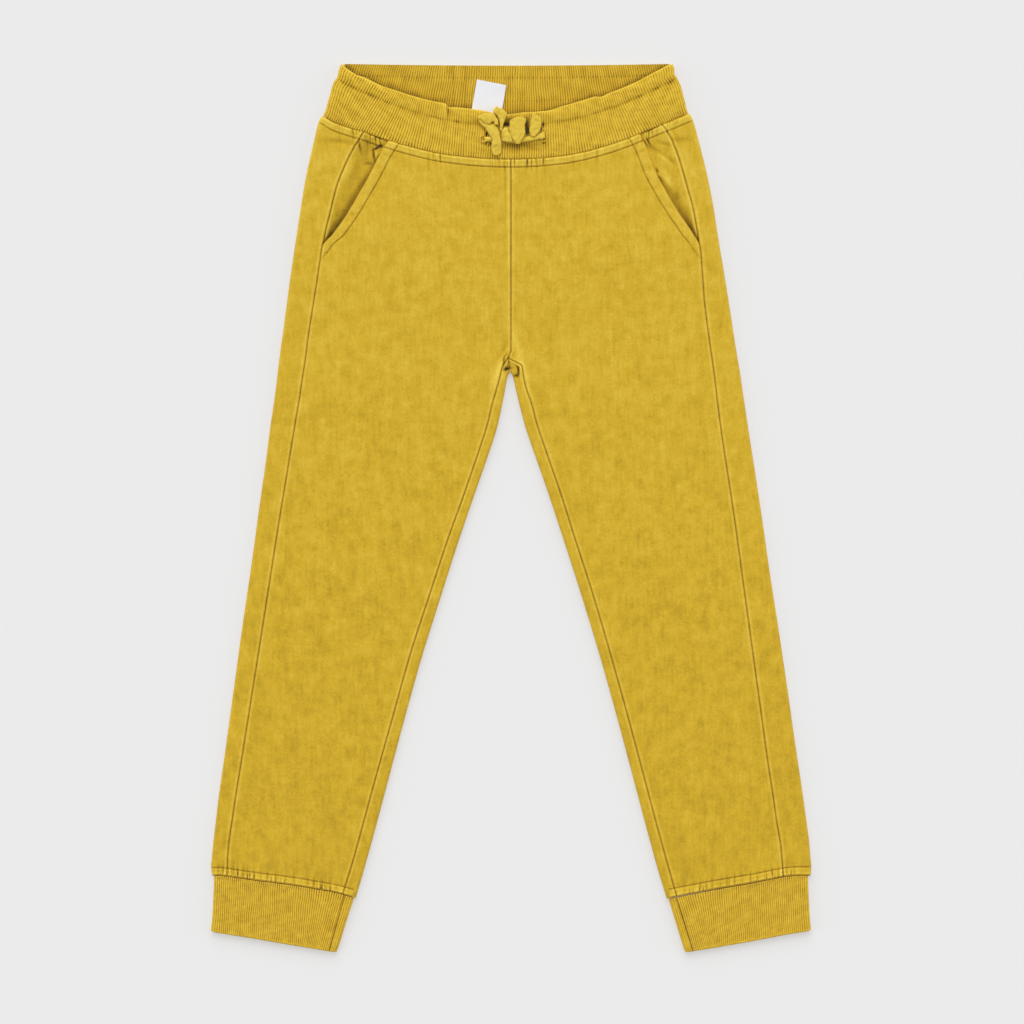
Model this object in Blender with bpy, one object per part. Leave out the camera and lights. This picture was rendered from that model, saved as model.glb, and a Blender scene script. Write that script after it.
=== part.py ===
"""A child's tracksuit bottoms, laid flat on a table with the front up.

All sizes are millimetres and are scaled to metres when a mesh is made. X runs across the
garment (left is minus), Y from the cuffs up to the waist, Z up from the table. The origin
is under the middle of the garment. Each leg is a flat tube of two panels: the back panel
lies on the table, rolls up over the outer edge to the outseam and over the inner edge to
the inseam, and the front panel lies on top, between those two seams.
"""

from collections import namedtuple
from math import cos, pi, sin

import bpy
import numpy as np

MM = 0.001

# Cloth
JERSEY = 1.7            # thickness of the sweatshirt cloth
RIB_CLOTH = 3.2         # the rib of band and cuffs, doubled
FACING_CLOTH = 1.2
TAPE = 1.0              # thickness of the drawstring tape
LABEL_CLOTH = 0.9
SEAM_GAP = 0.3          # between two pieces that are sewn together

# Ribs of the knit
RIB_PITCH = 2.2
RIB_DEPTH = 0.45

# Waistband
BAND_HEIGHT = 8.4       # of the front's face over the table
BAND_PROFILE = (        # share of the band's width from seam to top edge, drop of the face
    (0.0, 0.7),
    (0.35, 0.0),
    (0.68, 0.5),        # trough of the drawstring channel
    (0.88, 0.1),
    (1.0, 1.2),
)
BAND_TOP_LEFT = (-143.5, 376.5)     # the top ends of the folds at its sides
BAND_TOP_RIGHT = (137.5, 376.5)
BAND_FRONT_TOP = (-3.0, 335.0)      # lowest point of the front's top edge
BAND_BACK_TOP = 375.0               # the same point's height on the back
BAND_BACK_SEAM = 328.5

# Cuffs
CUFF_HEIGHT = 6.8
CUFF_PROFILE = ((0.0, 0.4), (0.12, 0.0), (0.88, 0.0), (1.0, 0.7))
Cuff = namedtuple("Cuff", "seam_outer seam_inner end_outer end_inner")
CUFFS = {
    "left": Cuff((-252.5, -314.0), (-133.5, -332.3), (-254.5, -360.5), (-148.0, -376.5)),
    "right": Cuff((252.5, -314.0), (134.0, -332.3), (254.5, -360.5), (148.0, -376.5)),
}

# Sections of a leg from the hem to the crotch: the outer fold, how far the outseam lies
# inside it, the inner fold, the inseam, the height of the top face, and how far the
# inner fold has turned from facing the other leg (0) to facing the hem (1).
Leg = namedtuple(
    "Leg", "outer_x outer_y outseam inner_x inner_y inseam_x inseam_y height turn")
LEFT_LEG = (
    Leg(-253.5, -313.5, 12.0, -132.0, -332.0, -143.0, -330.5, 6.2, 0.0),
    Leg(-253.0, -290.5, 12.5, -125.5, -309.5, -136.5, -308.0, 5.4, 0.0),
    Leg(-250.0, -256.5, 14.0, -116.5, -277.0, -127.5, -275.5, 5.0, 0.0),
    Leg(-243.0, -205.5, 15.0, -103.5, -228.0, -114.0, -226.0, 4.8, 0.0),
    Leg(-236.0, -154.5, 16.0, -90.0, -177.5, -100.0, -176.0, 4.8, 0.0),
    Leg(-229.0, -103.5, 17.0, -76.0, -127.5, -86.0, -126.0, 4.8, 0.0),
    Leg(-221.5, -52.5, 17.5, -60.5, -78.0, -70.0, -76.5, 4.8, 0.0),
    Leg(-214.5, -1.5, 18.5, -44.5, -28.0, -53.5, -26.5, 4.8, 0.0),
    Leg(-208.5, 41.0, 19.5, -30.5, 13.0, -39.0, 14.0, 4.9, 0.0),
    Leg(-204.0, 75.0, 20.5, -19.0, 46.0, -27.5, 47.5, 5.0, 0.0),
    Leg(-200.5, 98.5, 21.0, -11.5, 69.5, -20.0, 71.0, 5.1, 0.0),
    Leg(-198.5, 115.5, 21.5, -7.8, 86.5, -16.0, 88.0, 5.2, 0.05),
    Leg(-196.3, 133.5, 22.0, -4.8, 102.0, -11.5, 103.0, 5.2, 0.3),
    Leg(-195.6, 138.5, 22.0, -3.2, 110.5, -9.0, 112.5, 5.2, 0.6),
    Leg(-195.3, 141.0, 22.0, -2.0, 114.0, -7.0, 120.0, 5.2, 0.85),
    Leg(-195.0, 143.0, 22.0, -0.9, 115.5, -2.4, 127.5, 5.2, 1.0),
)
RIGHT_LEG = (
    Leg(253.5, -313.5, 22.0, 132.5, -332.0, 141.0, -330.5, 6.2, 0.0),
    Leg(253.0, -290.5, 23.0, 125.5, -309.5, 134.5, -308.0, 5.4, 0.0),
    Leg(249.0, -256.5, 24.0, 116.5, -277.0, 125.5, -275.5, 5.0, 0.0),
    Leg(241.5, -205.5, 24.0, 103.5, -228.0, 112.5, -226.5, 4.8, 0.0),
    Leg(234.5, -154.5, 24.0, 90.0, -177.5, 99.0, -176.0, 4.8, 0.0),
    Leg(227.0, -103.5, 23.5, 76.0, -127.5, 85.0, -126.0, 4.8, 0.0),
    Leg(219.0, -52.5, 22.5, 61.0, -78.0, 70.5, -76.5, 4.8, 0.0),
    Leg(211.5, -1.5, 22.0, 45.0, -28.0, 54.5, -26.5, 4.8, 0.0),
    Leg(205.0, 41.0, 22.0, 31.5, 13.0, 41.5, 14.5, 4.9, 0.0),
    Leg(199.5, 75.0, 21.5, 20.0, 46.0, 30.0, 47.5, 5.0, 0.0),
    Leg(196.0, 98.5, 21.0, 12.0, 69.5, 22.0, 71.5, 5.1, 0.0),
    Leg(193.5, 115.5, 20.5, 7.5, 86.5, 17.5, 88.5, 5.2, 0.05),
    Leg(190.5, 133.5, 20.0, 3.8, 102.0, 12.5, 103.0, 5.2, 0.3),
    Leg(189.7, 138.5, 20.0, 1.9, 110.5, 10.5, 111.5, 5.2, 0.6),
    Leg(189.3, 141.0, 20.0, 0.5, 114.0, 9.0, 121.0, 5.2, 0.85),
    Leg(189.0, 143.0, 20.0, -0.5, 115.5, -2.0, 127.5, 5.2, 1.0),
)

# Sections of the hips from the crotch to the waist seam, on one side: the outer fold, how
# far the outseam and the front panel's edge lie inside it (they part at the pocket), the
# heights of the centre front and centre back, the power of the section's curve across the
# front (1 is straight), and the height of the top face.
Hip = namedtuple(
    "Hip", "outer_x outer_y outseam front_edge front_y back_y curve height")
LEFT_HIP = (
    Hip(-195.0, 143.0, 22.0, 22.0, 127.5, 118.1, 1.00, 5.2),
    Hip(-194.0, 149.5, 22.0, 22.0, 134.0, 125.0, 1.00, 5.2),
    Hip(-191.0, 172.5, 22.5, 22.5, 158.0, 148.0, 1.05, 5.4),
    Hip(-187.5, 198.0, 23.0, 23.0, 180.0, 175.0, 1.15, 5.8),
    Hip(-183.5, 225.0, 23.0, 23.0, 205.0, 205.0, 1.30, 6.2),
    Hip(-181.5, 238.0, 23.5, 30.0, 216.0, 218.5, 1.40, 6.3),
    Hip(-178.5, 257.5, 25.0, 39.0, 233.0, 239.5, 1.50, 6.4),
    Hip(-175.0, 279.0, 26.5, 46.0, 251.0, 265.0, 1.65, 6.5),
    Hip(-171.0, 297.5, 29.0, 51.0, 268.0, 289.0, 1.80, 6.7),
    Hip(-167.0, 313.0, 32.0, 54.0, 282.0, 307.5, 1.90, 7.0),
    Hip(-164.0, 324.5, 35.0, 56.0, 290.0, 321.5, 1.98, 7.3),
    Hip(-161.5, 331.0, 36.5, 57.5, 296.5, 328.0, 2.00, 7.6),
)
RIGHT_HIP = (
    Hip(189.0, 143.0, 20.0, 20.0, 127.5, 118.1, 1.00, 5.2),
    Hip(188.0, 149.5, 20.0, 20.0, 134.0, 125.0, 1.00, 5.2),
    Hip(184.5, 172.5, 19.5, 19.5, 158.0, 148.0, 1.05, 5.4),
    Hip(180.5, 198.0, 17.5, 17.5, 180.0, 175.0, 1.15, 5.8),
    Hip(176.0, 225.0, 15.5, 15.5, 205.0, 205.0, 1.30, 6.2),
    Hip(174.0, 238.0, 15.5, 20.0, 216.0, 218.5, 1.40, 6.3),
    Hip(171.0, 257.5, 16.0, 28.5, 233.0, 239.5, 1.50, 6.4),
    Hip(167.0, 279.0, 17.5, 35.5, 251.0, 265.0, 1.65, 6.5),
    Hip(163.0, 297.5, 18.5, 40.0, 268.0, 289.0, 1.80, 6.7),
    Hip(159.0, 313.0, 20.5, 42.0, 282.0, 307.5, 1.90, 7.0),
    Hip(155.5, 324.5, 23.0, 43.0, 290.0, 321.5, 1.98, 7.3),
    Hip(153.0, 331.0, 25.0, 44.0, 296.5, 328.0, 2.00, 7.6),
)
PANELS = {"left": (LEFT_LEG, LEFT_HIP), "right": (RIGHT_LEG, RIGHT_HIP)}
CENTRE_LINE = {"left": -0.2, "right": 0.2}      # the two sides' edges at the centre seams
POCKET_FOOT = 4         # the hip section where the pocket's opening begins

# Relief of the front panels
HEM_BAND = 9.0          # width of the turned hem along the pocket opening
HEM_RAISE = 0.5
PUCKER_DEPTH = 0.6      # gathers under the waist seam and over the cuff seam
STITCH_DEPTH = 0.4      # of the furrow that the topstitch makes
FRONT_COLUMNS = 25
HEM_LINES = (3.5, 7.0, 9.5)         # rows over the cuff seam; the topstitch is the second
WAIST_LINES = (9.5, 3.5)            # rows below and above the topstitch under the waist seam

# The largest soft folds of the fronts: middle, heading from +X in degrees, half length,
# half width and height.
Fold = namedtuple("Fold", "x y heading reach spread height")
FOLDS = (
    Fold(-26.0, 112.0, 68.0, 34.0, 7.0, 0.6),
    Fold(22.0, 106.0, 110.0, 30.0, 7.0, 0.6),
    Fold(-14.0, 150.0, 60.0, 22.0, 6.0, -0.4),
    Fold(-112.0, 240.0, 40.0, 45.0, 14.0, 0.4),
    Fold(98.0, 250.0, 140.0, 40.0, 14.0, 0.4),
    Fold(-150.0, 40.0, 80.0, 60.0, 16.0, -0.4),
    Fold(140.0, 0.0, 105.0, 70.0, 18.0, -0.4),
    Fold(-170.0, -150.0, 15.0, 40.0, 15.0, 0.4),
    Fold(165.0, -190.0, 160.0, 45.0, 15.0, 0.4),
)

# Pocket facings
FACING_UNDERLAP = 12.0  # how far a facing runs on under the front panel

# Drawstring: for each stretch, cross lines of the flat tape from one end to the other,
# as its two edge points and the height of the tape's middle.
LEVEL_1 = 9.2
LEVEL_2 = 10.5
LEVEL_3 = 11.9
Cross = namedtuple("Cross", "ax ay bx by z")
TAPES = {
    "tie_left_strand": (
        Cross(-23.6, 315.0, -23.6, 311.1, LEVEL_1),
        Cross(-20.5, 315.0, -20.5, 311.1, LEVEL_1),
        Cross(-16.4, 315.5, -16.4, 310.3, LEVEL_1),
        Cross(-9.0, 316.0, -9.0, 310.0, LEVEL_1),
    ),
    "tie_right_strand": (
        Cross(28.4, 320.1, 28.9, 313.4, LEVEL_1),
        Cross(22.7, 317.6, 22.7, 312.7, LEVEL_1),
        Cross(16.5, 316.0, 16.5, 311.4, LEVEL_1),
        Cross(9.8, 315.0, 9.8, 310.4, LEVEL_1),
        Cross(3.1, 315.5, 3.1, 309.6, LEVEL_1),
        Cross(-3.0, 316.0, -3.0, 310.1, LEVEL_1),
        Cross(-7.2, 316.5, -7.2, 311.1, LEVEL_1),
    ),
    "tie_left_loop": (
        Cross(-11.0, 325.3, -13.9, 325.3, LEVEL_3),
        Cross(-11.3, 328.9, -14.3, 328.1, LEVEL_3),
        Cross(-13.1, 332.0, -16.4, 327.6, LEVEL_3),
        Cross(-15.9, 335.0, -18.5, 325.8, LEVEL_3),
        Cross(-21.6, 335.1, -22.1, 326.3, LEVEL_3),
        Cross(-25.6, 333.5, -25.4, 329.4, LEVEL_3 - 0.2),
        Cross(-28.0, 332.2, -27.0, 329.2, 0.5 * (LEVEL_2 + LEVEL_3)),
        Cross(-25.6, 331.5, -26.2, 326.8, LEVEL_2 + 0.1),
        Cross(-18.5, 328.4, -22.1, 322.2, LEVEL_2),
        Cross(-12.3, 324.3, -18.5, 316.8, LEVEL_2),
        Cross(-9.0, 315.0, -15.9, 312.2, LEVEL_2),
        Cross(-8.2, 309.6, -16.6, 308.9, LEVEL_2),
        Cross(-7.9, 305.6, -17.1, 305.2, LEVEL_1 + 0.4),
        Cross(-8.2, 302.1, -15.9, 301.3, LEVEL_1 + 0.1),
        Cross(-10.3, 299.8, -13.9, 299.5, LEVEL_1),
    ),
    "tie_up_tail": (
        Cross(-12.8, 341.0, -6.5, 338.0, LEVEL_2),
        Cross(-15.2, 337.0, -3.5, 335.1, LEVEL_2),
        Cross(-11.8, 333.0, -4.1, 332.5, LEVEL_2),
        Cross(-9.9, 328.4, -5.6, 328.4, LEVEL_2),
        Cross(-9.0, 323.7, -7.2, 323.7, LEVEL_2),
        Cross(-8.7, 320.6, -7.9, 320.6, LEVEL_2),
    ),
    "tie_right_loop": (
        Cross(-7.6, 320.1, -7.6, 311.1, LEVEL_2),
        Cross(-5.6, 323.2, -5.1, 310.6, LEVEL_2),
        Cross(-2.5, 323.7, -1.5, 310.3, LEVEL_2),
        Cross(-0.7, 319.1, 1.6, 309.8, LEVEL_2),
    ),
    "tie_middle_leaf": (
        Cross(6.2, 331.9, 8.6, 331.7, LEVEL_3),
        Cross(-0.7, 328.9, 12.9, 329.7, LEVEL_3),
        Cross(-1.0, 324.3, 11.6, 324.3, LEVEL_3),
        Cross(-1.5, 321.2, 12.0, 319.6, LEVEL_3),
        Cross(-0.2, 317.1, 11.1, 315.5, LEVEL_3),
        Cross(1.6, 312.9, 9.6, 312.4, LEVEL_3),
        Cross(4.2, 309.1, 7.3, 309.1, LEVEL_3),
    ),
    "tie_right_tail": (
        Cross(18.1, 334.6, 22.2, 333.5, LEVEL_2),
        Cross(17.1, 329.9, 25.6, 330.4, LEVEL_2),
        Cross(16.3, 325.3, 25.7, 326.3, LEVEL_2),
        Cross(15.6, 320.7, 24.8, 321.2, LEVEL_2),
        Cross(16.3, 316.8, 22.2, 317.3, LEVEL_2),
        Cross(18.1, 315.4, 20.1, 315.5, LEVEL_2),
    ),
}

# Care label, its bottom end tucked behind the front of the band
LABEL_HEIGHT = 4.3      # of its middle over the table
LABEL_TOP = ((-29.0, 364.5), (-4.0, 359.5))
LABEL_LENGTH = 39.0
LABEL_TILT = (-0.17, -0.985)        # direction from its top edge to its bottom edge

MUSTARD = (0.60, 0.40, 0.035)
RIB_MUSTARD = (0.55, 0.36, 0.038)
WHITE = (0.83, 0.83, 0.84)


# ---------------------------------------------------------------- meshes

def clear_scene():
    for item in list(bpy.data.objects):
        bpy.data.objects.remove(item, do_unlink=True)


def add_solid(name, points, faces, colour, roughness=0.9):
    """One object from its points in millimetres and its outward faces."""
    mesh = bpy.data.meshes.new(name)
    mesh.from_pydata([tuple(MM * float(c) for c in point) for point in points], [], faces)
    mesh.validate()
    mesh.shade_smooth()
    mesh.set_sharp_from_angle(angle=0.7)
    material = bpy.data.materials.new(name)
    material.use_nodes = True
    shader = material.node_tree.nodes["Principled BSDF"]
    shader.inputs["Base Color"].default_value = (*colour, 1.0)
    shader.inputs["Roughness"].default_value = roughness
    shader.inputs["Metallic"].default_value = 0.0
    mesh.materials.append(material)
    solid = bpy.data.objects.new(name, mesh)
    bpy.context.collection.objects.link(solid)
    return solid


def add_wall(name, outside, inside, colour, kept=None):
    """A wall between two grids of points (rows, columns, xyz).

    kept says which of the grid's cells have cloth; all of them if it isn't given. The
    outside's cells, read row by row, turn anticlockwise seen from outside.
    """
    rows, columns = outside.shape[:2]
    if kept is None:
        kept = np.ones((rows - 1, columns - 1), bool)
    used = {}
    faces = []
    edges = set()
    for i in range(rows - 1):
        for j in range(columns - 1):
            if not kept[i][j]:
                continue
            corners = [(i, j), (i, j + 1), (i + 1, j + 1), (i + 1, j)]
            for corner in corners:
                used.setdefault(corner, len(used))
            ring = [used[corner] for corner in corners]
            faces.append(ring)
            edges.update(zip(ring, ring[1:] + ring[:1]))
    count = len(used)
    skin = list(faces)
    faces = skin + [[index + count for index in reversed(face)] for face in skin]
    for start, end in sorted(edges):
        if (end, start) not in edges:
            faces.append([end, start, start + count, end + count])
    points = [outside[i][j] for i, j in used] + [inside[i][j] for i, j in used]
    return add_solid(name, points, faces, colour)


def zip_rings(first, first_places, second, second_places):
    """Triangles between two closed rings of vertex numbers, in step with their places.

    The places rise from 0 to below 1 round each ring.
    """
    faces = []
    i = 0
    j = 0
    while i < len(first) or j < len(second):
        next_first = first_places[i + 1] if i + 1 < len(first) else 1.0 + (i >= len(first))
        next_second = second_places[j + 1] if j + 1 < len(second) else 1.0 + (j >= len(second))
        here = first[i % len(first)]
        there = second[j % len(second)]
        if next_first <= next_second:
            faces.append([here, first[(i + 1) % len(first)], there])
            i += 1
        else:
            faces.append([here, second[(j + 1) % len(second)], there])
            j += 1
    return faces


def add_tube(name, outside, outside_places, inside, inside_places, colour):
    """A flat tube's wall from rows of rings; its two skins may have unlike columns."""
    points = []
    faces = []

    def add_rings(rings):
        first = len(points)
        count = len(rings[0])
        for ring in rings:
            points.extend(ring)
        return [list(range(first + k * count, first + (k + 1) * count))
                for k in range(len(rings))]

    def add_skin(rings, flip):
        for low, high in zip(rings, rings[1:]):
            for j in range(len(low)):
                k = (j + 1) % len(low)
                face = [low[j], low[k], high[k], high[j]]
                faces.append(face[::-1] if flip else face)

    outer = add_rings(outside)
    inner = add_rings(inside)
    add_skin(outer, False)
    add_skin(inner, True)
    faces.extend(face[::-1] for face in zip_rings(
        outer[0], outside_places, inner[0], inside_places))
    faces.extend(zip_rings(outer[-1], outside_places, inner[-1], inside_places))
    return add_solid(name, points, faces, colour)


# ---------------------------------------------------------------- leg and hip panels

def unit(vector):
    vector = np.asarray(vector, float)
    return vector / np.hypot(*vector)


def fold_lift(x, y):
    """How far the soft folds lift or sink the front panels at a point."""
    lift = 0.0
    for fold in FOLDS:
        angle = fold.heading * pi / 180.0
        along = (x - fold.x) * cos(angle) + (y - fold.y) * sin(angle)
        across = (y - fold.y) * cos(angle) - (x - fold.x) * sin(angle)
        lift += fold.height * np.exp(-(along / fold.reach) ** 2 - (across / fold.spread) ** 2)
    return lift


class Section:
    """One line across a leg or a hip, from the outer fold to the inseam or centre."""

    def __init__(self, side, leg=None, hip=None):
        place = leg or hip
        self.outer = np.array([place.outer_x, place.outer_y])
        self.height = place.height
        self.radius = place.height / 2
        self.outseam = place.outseam
        if leg:
            self.front_edge = leg.outseam
            self.curve = 1.0
            self.top_end = np.array([leg.inseam_x, leg.inseam_y])
            self.fold = np.array([leg.inner_x, leg.inner_y])
            level = unit(self.outer - self.fold)
            self.floor_way = unit((1 - leg.turn) * level + leg.turn * np.array([0.0, 1.0]))
            self.top_way = unit(self.top_end - self.fold)
            self.floor_end = self.fold + self.radius * self.floor_way
        else:
            self.front_edge = hip.front_edge
            self.curve = hip.curve
            self.top_end = np.array([CENTRE_LINE[side], hip.front_y])
            self.floor_end = np.array([CENTRE_LINE[side], hip.back_y])

    def on_top(self, distance):
        """The point this far in from the outer fold, in plan, on the upper side."""
        span = abs(self.top_end[0] - self.outer[0])
        share = distance / span
        x = self.outer[0] + (self.top_end[0] - self.outer[0]) * share
        y = self.top_end[1] + (self.outer[1] - self.top_end[1]) * (1 - share) ** self.curve
        return np.array([x, y])

    def top_span(self):
        return abs(self.top_end[0] - self.outer[0])

    def around_outer(self, angle, depth):
        """A point on the roll at the outer fold, depth inside the outer skin."""
        reach = self.radius - (self.radius - depth) * cos(angle)
        x, y = self.on_top(reach)
        return np.array([x, y, self.radius + (self.radius - depth) * sin(angle)])

    def around_inner(self, angle, depth):
        """The same at the inner fold, from the floor (-pi/2) to the top (pi/2)."""
        turned = (angle + pi / 2) / pi
        way = unit((1 - turned) * self.floor_way + turned * self.top_way)
        reach = self.radius - (self.radius - depth) * cos(angle)
        x, y = self.fold + way * reach
        return np.array([x, y, self.radius + (self.radius - depth) * sin(angle)])


def between(first, second, share):
    """A table row a share of the way from one row to the next."""
    return type(first)(*(a + (b - a) * share for a, b in zip(first, second)))


def sections(side):
    """The sections of one side, with the extra rows by the hem and the waist seam."""
    leg_rows, hip_rows = PANELS[side]
    hem, above = leg_rows[:2]
    waist_stitch, waist = hip_rows[-2:]
    step = above.outer_y - hem.outer_y
    leg_rows = (hem,
                *(between(hem, above, line / step) for line in HEM_LINES),
                *leg_rows[1:])
    below = hip_rows[-3]
    low_line, high_line = (waist.outer_y - line for line in WAIST_LINES)
    low_share = (low_line - below.outer_y) / (waist_stitch.outer_y - below.outer_y)
    high_share = (high_line - waist_stitch.outer_y) / (waist.outer_y - waist_stitch.outer_y)
    hip_rows = (*hip_rows[:-2],
                between(below, waist_stitch, low_share),
                waist_stitch,
                between(waist_stitch, waist, high_share),
                waist)
    legs = [Section(side, leg=row) for row in leg_rows]
    hips = [Section(side, hip=row) for row in hip_rows]
    return legs, hips


ROLL_ANGLES = (pi / 2, pi / 4, 0.0, -pi / 4, -pi / 2)
FLOOR_SHARES = (0.25, 0.5, 0.75, 1.0)


def back_row(section, depth, has_inner_fold):
    """The back panel's points on one section, from outseam to inseam or centre back."""
    half_gap = SEAM_GAP / 2
    row = []
    for distance in (section.outseam - half_gap, (section.outseam + section.radius) / 2):
        x, y = section.on_top(distance)
        row.append(np.array([x, y, section.height - depth]))
    row += [section.around_outer(angle, depth) for angle in ROLL_ANGLES]
    start = section.on_top(section.radius)
    for share in FLOOR_SHARES:
        x, y = start + (section.floor_end - start) * share
        row.append(np.array([x, y, depth]))
    if has_inner_fold:
        row += [section.around_inner(angle, depth) for angle in ROLL_ANGLES[-2::-1]]
        x, y = section.top_end - section.top_way * half_gap
        row.append(np.array([x, y, section.height - depth]))
    else:
        row += [row[-1]] * len(ROLL_ANGLES)
    return row


def set_back_ends(rows, shift):
    """Move the first and last rows half a seam gap inside the panel."""
    for row, sign in ((rows[0], shift), (rows[-1], -shift)):
        for point in row:
            point[1] += sign


def build_back(side):
    legs, hips = sections(side)
    skins = []
    for depth in (0.0, JERSEY):
        rows = [back_row(section, depth, True) for section in legs]
        rows += [back_row(section, depth, False) for section in hips[1:]]
        rows = np.array(rows)
        set_back_ends(rows, SEAM_GAP / 2)
        skins.append(rows)
    columns = skins[0].shape[1]
    fold_columns = len(ROLL_ANGLES)
    kept = np.ones((len(skins[0]) - 1, columns - 1), bool)
    kept[len(legs) - 1:, columns - 1 - fold_columns:] = False
    outside, inside = skins
    if side == "right":
        outside, inside, kept = outside[:, ::-1], inside[:, ::-1], kept[:, ::-1]
    return add_wall("back_" + side, outside[::-1], inside[::-1], MUSTARD, kept[::-1])


def gather(column):
    """How far a column sinks where the cloth is gathered, from 0 to 1, unevenly."""
    return (column % 2) * (0.65 + 0.35 * sin(1.7 * column))


def front_row(section, gathers, furrow, by_pocket):
    """The front panel's outer points on one section, from its outer edge inwards.

    gathers is the share of the puckers' depth that the row has.
    """
    half_gap = SEAM_GAP / 2
    first = section.front_edge + half_gap
    last = section.top_span() - half_gap
    stops = [first, first + HEM_BAND]
    stops += list(np.linspace(first + HEM_BAND, last, FRONT_COLUMNS - 1)[1:])
    row = []
    for column, stop in enumerate(stops):
        x, y = section.on_top(stop)
        lift = fold_lift(x, y) * min(1.0, (last - stop) / 10.0, (stop - first) / 10.0 + 0.2)
        lift -= PUCKER_DEPTH * gathers * gather(column) + furrow
        if by_pocket and column < 2:
            lift += HEM_RAISE
        row.append(np.array([x, y, section.height + lift]))
    return row


def build_front(side):
    legs, hips = sections(side)
    # rows from each end: the seam, the puckered strip, the topstitch and the row past it
    by_seam = ((0.3, 0.0), (1.0, 0.0), (0.5, STITCH_DEPTH), (0.5, 0.0))
    plain = (0.0, 0.0)
    rows = []
    for index, section in enumerate(legs):
        gathers, furrow = by_seam[index] if index < len(by_seam) else plain
        rows.append(front_row(section, gathers, furrow, False))
    for index, section in enumerate(hips[1:], 1):
        from_waist = len(hips) - 1 - index
        gathers, furrow = by_seam[from_waist] if from_waist < len(by_seam) else plain
        rows.append(front_row(section, gathers, furrow, index > POCKET_FOOT))
    outside = np.array(rows)
    set_back_ends(outside, SEAM_GAP / 2)
    inside = outside - np.array([0.0, 0.0, JERSEY])
    if side == "right":
        outside, inside = outside[:, ::-1], inside[:, ::-1]
    return add_wall("front_" + side, outside, inside, MUSTARD)


def build_facing(side):
    """The cloth seen inside the pocket's opening, running on under the front panel."""
    hips = sections(side)[1][POCKET_FOOT + 1:]
    rows = []
    for section in hips:
        near = section.outseam + SEAM_GAP / 2
        edge = section.front_edge
        far = edge + FACING_UNDERLAP
        sunk = section.height - JERSEY - SEAM_GAP - 0.2
        row = []
        for share, drop in ((0.0, 0.0), (0.3, 0.35), (0.65, 1.0), (1.0, 1.0)):
            x, y = section.on_top(near + (edge - near) * share)
            row.append([x, y, section.height - 0.2 + (sunk - section.height + 0.2) * drop])
        x, y = section.on_top(far)
        row.append([x, y, sunk])
        rows.append(row)
    outside = np.array(rows)
    outside[-1, :, 1] -= SEAM_GAP / 2
    inside = outside - np.array([0.0, 0.0, FACING_CLOTH])
    if side == "right":
        outside, inside = outside[:, ::-1], inside[:, ::-1]
    return add_wall("pocket_facing_" + side, outside, inside, MUSTARD)


# ---------------------------------------------------------------- ribbed tubes

def ring_stops(ribbed_front, ribbed_back, ribs, plain):
    """Columns round a flat tube: (stretch, share along it, ridge or not), and places.

    Stretches 0 to 3 are the front, the fold at its end, the back and the other fold.
    """
    stops = []
    for stretch in range(4):
        if stretch in (1, 3):
            stops += [(stretch, share, False) for share in (0.25, 0.5, 0.75)]
            continue
        ribbed = ribbed_front if stretch == 0 else ribbed_back
        count = 2 * ribs if ribbed else plain
        for k in range(count + 1):
            stops.append((stretch, k / count, ribbed and k % 2 == 1))
    places = [(stretch + share * 0.999) / 4 for stretch, share, _ in stops]
    return stops, places


def tube_ring(stops, front, back, height, drop, depth, groove):
    """One ring of a flat tube's skin.

    front(share) and back(share) give the plan points, on the folds too, where the share
    runs a little past 0 or 1; drop lowers the faces near the tube's ends, depth is how
    far inside the outer skin the ring lies, and groove how deep the knit's valleys are,
    cut into the cloth's visible side.
    """
    ring = []
    radius = height / 2
    lift = radius - drop - depth
    flat_width = front(1.0)[0] - front(0.0)[0]
    for stretch, share, valley in stops:
        if stretch == 0:
            x, y = front(share)
            z = radius + lift - (groove if valley else 0.0)
        elif stretch == 2:
            x, y = back(1.0 - share)
            z = radius - lift - (groove if valley else 0.0)
        else:
            angle = pi / 2 - pi * share if stretch == 1 else -pi / 2 - pi * share
            beyond = abs(cos(angle)) * (radius - depth) / flat_width
            place = 1.0 + beyond if stretch == 1 else -beyond
            x, y = mix(front(place), back(place), 0.5 * (1 - sin(angle)))
            z = radius + lift * sin(angle)
        ring.append((x, y, z))
    return ring


def mix(first, second, share):
    return tuple(a + (b - a) * share for a, b in zip(first, second))


def band_edge(share, left, right, middle):
    """A point on an edge that falls in a parabola from both sides to its middle.

    The flat stretch ends a roll's radius inside the two sides.
    """
    radius = BAND_HEIGHT / 2
    x = left[0] + radius + (right[0] - left[0] - 2 * radius) * share
    side_x, side_y = left if x < middle[0] else right
    across = (x - middle[0]) / (side_x - middle[0])
    return x, middle[1] + (side_y - middle[1]) * across ** 2


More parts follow.
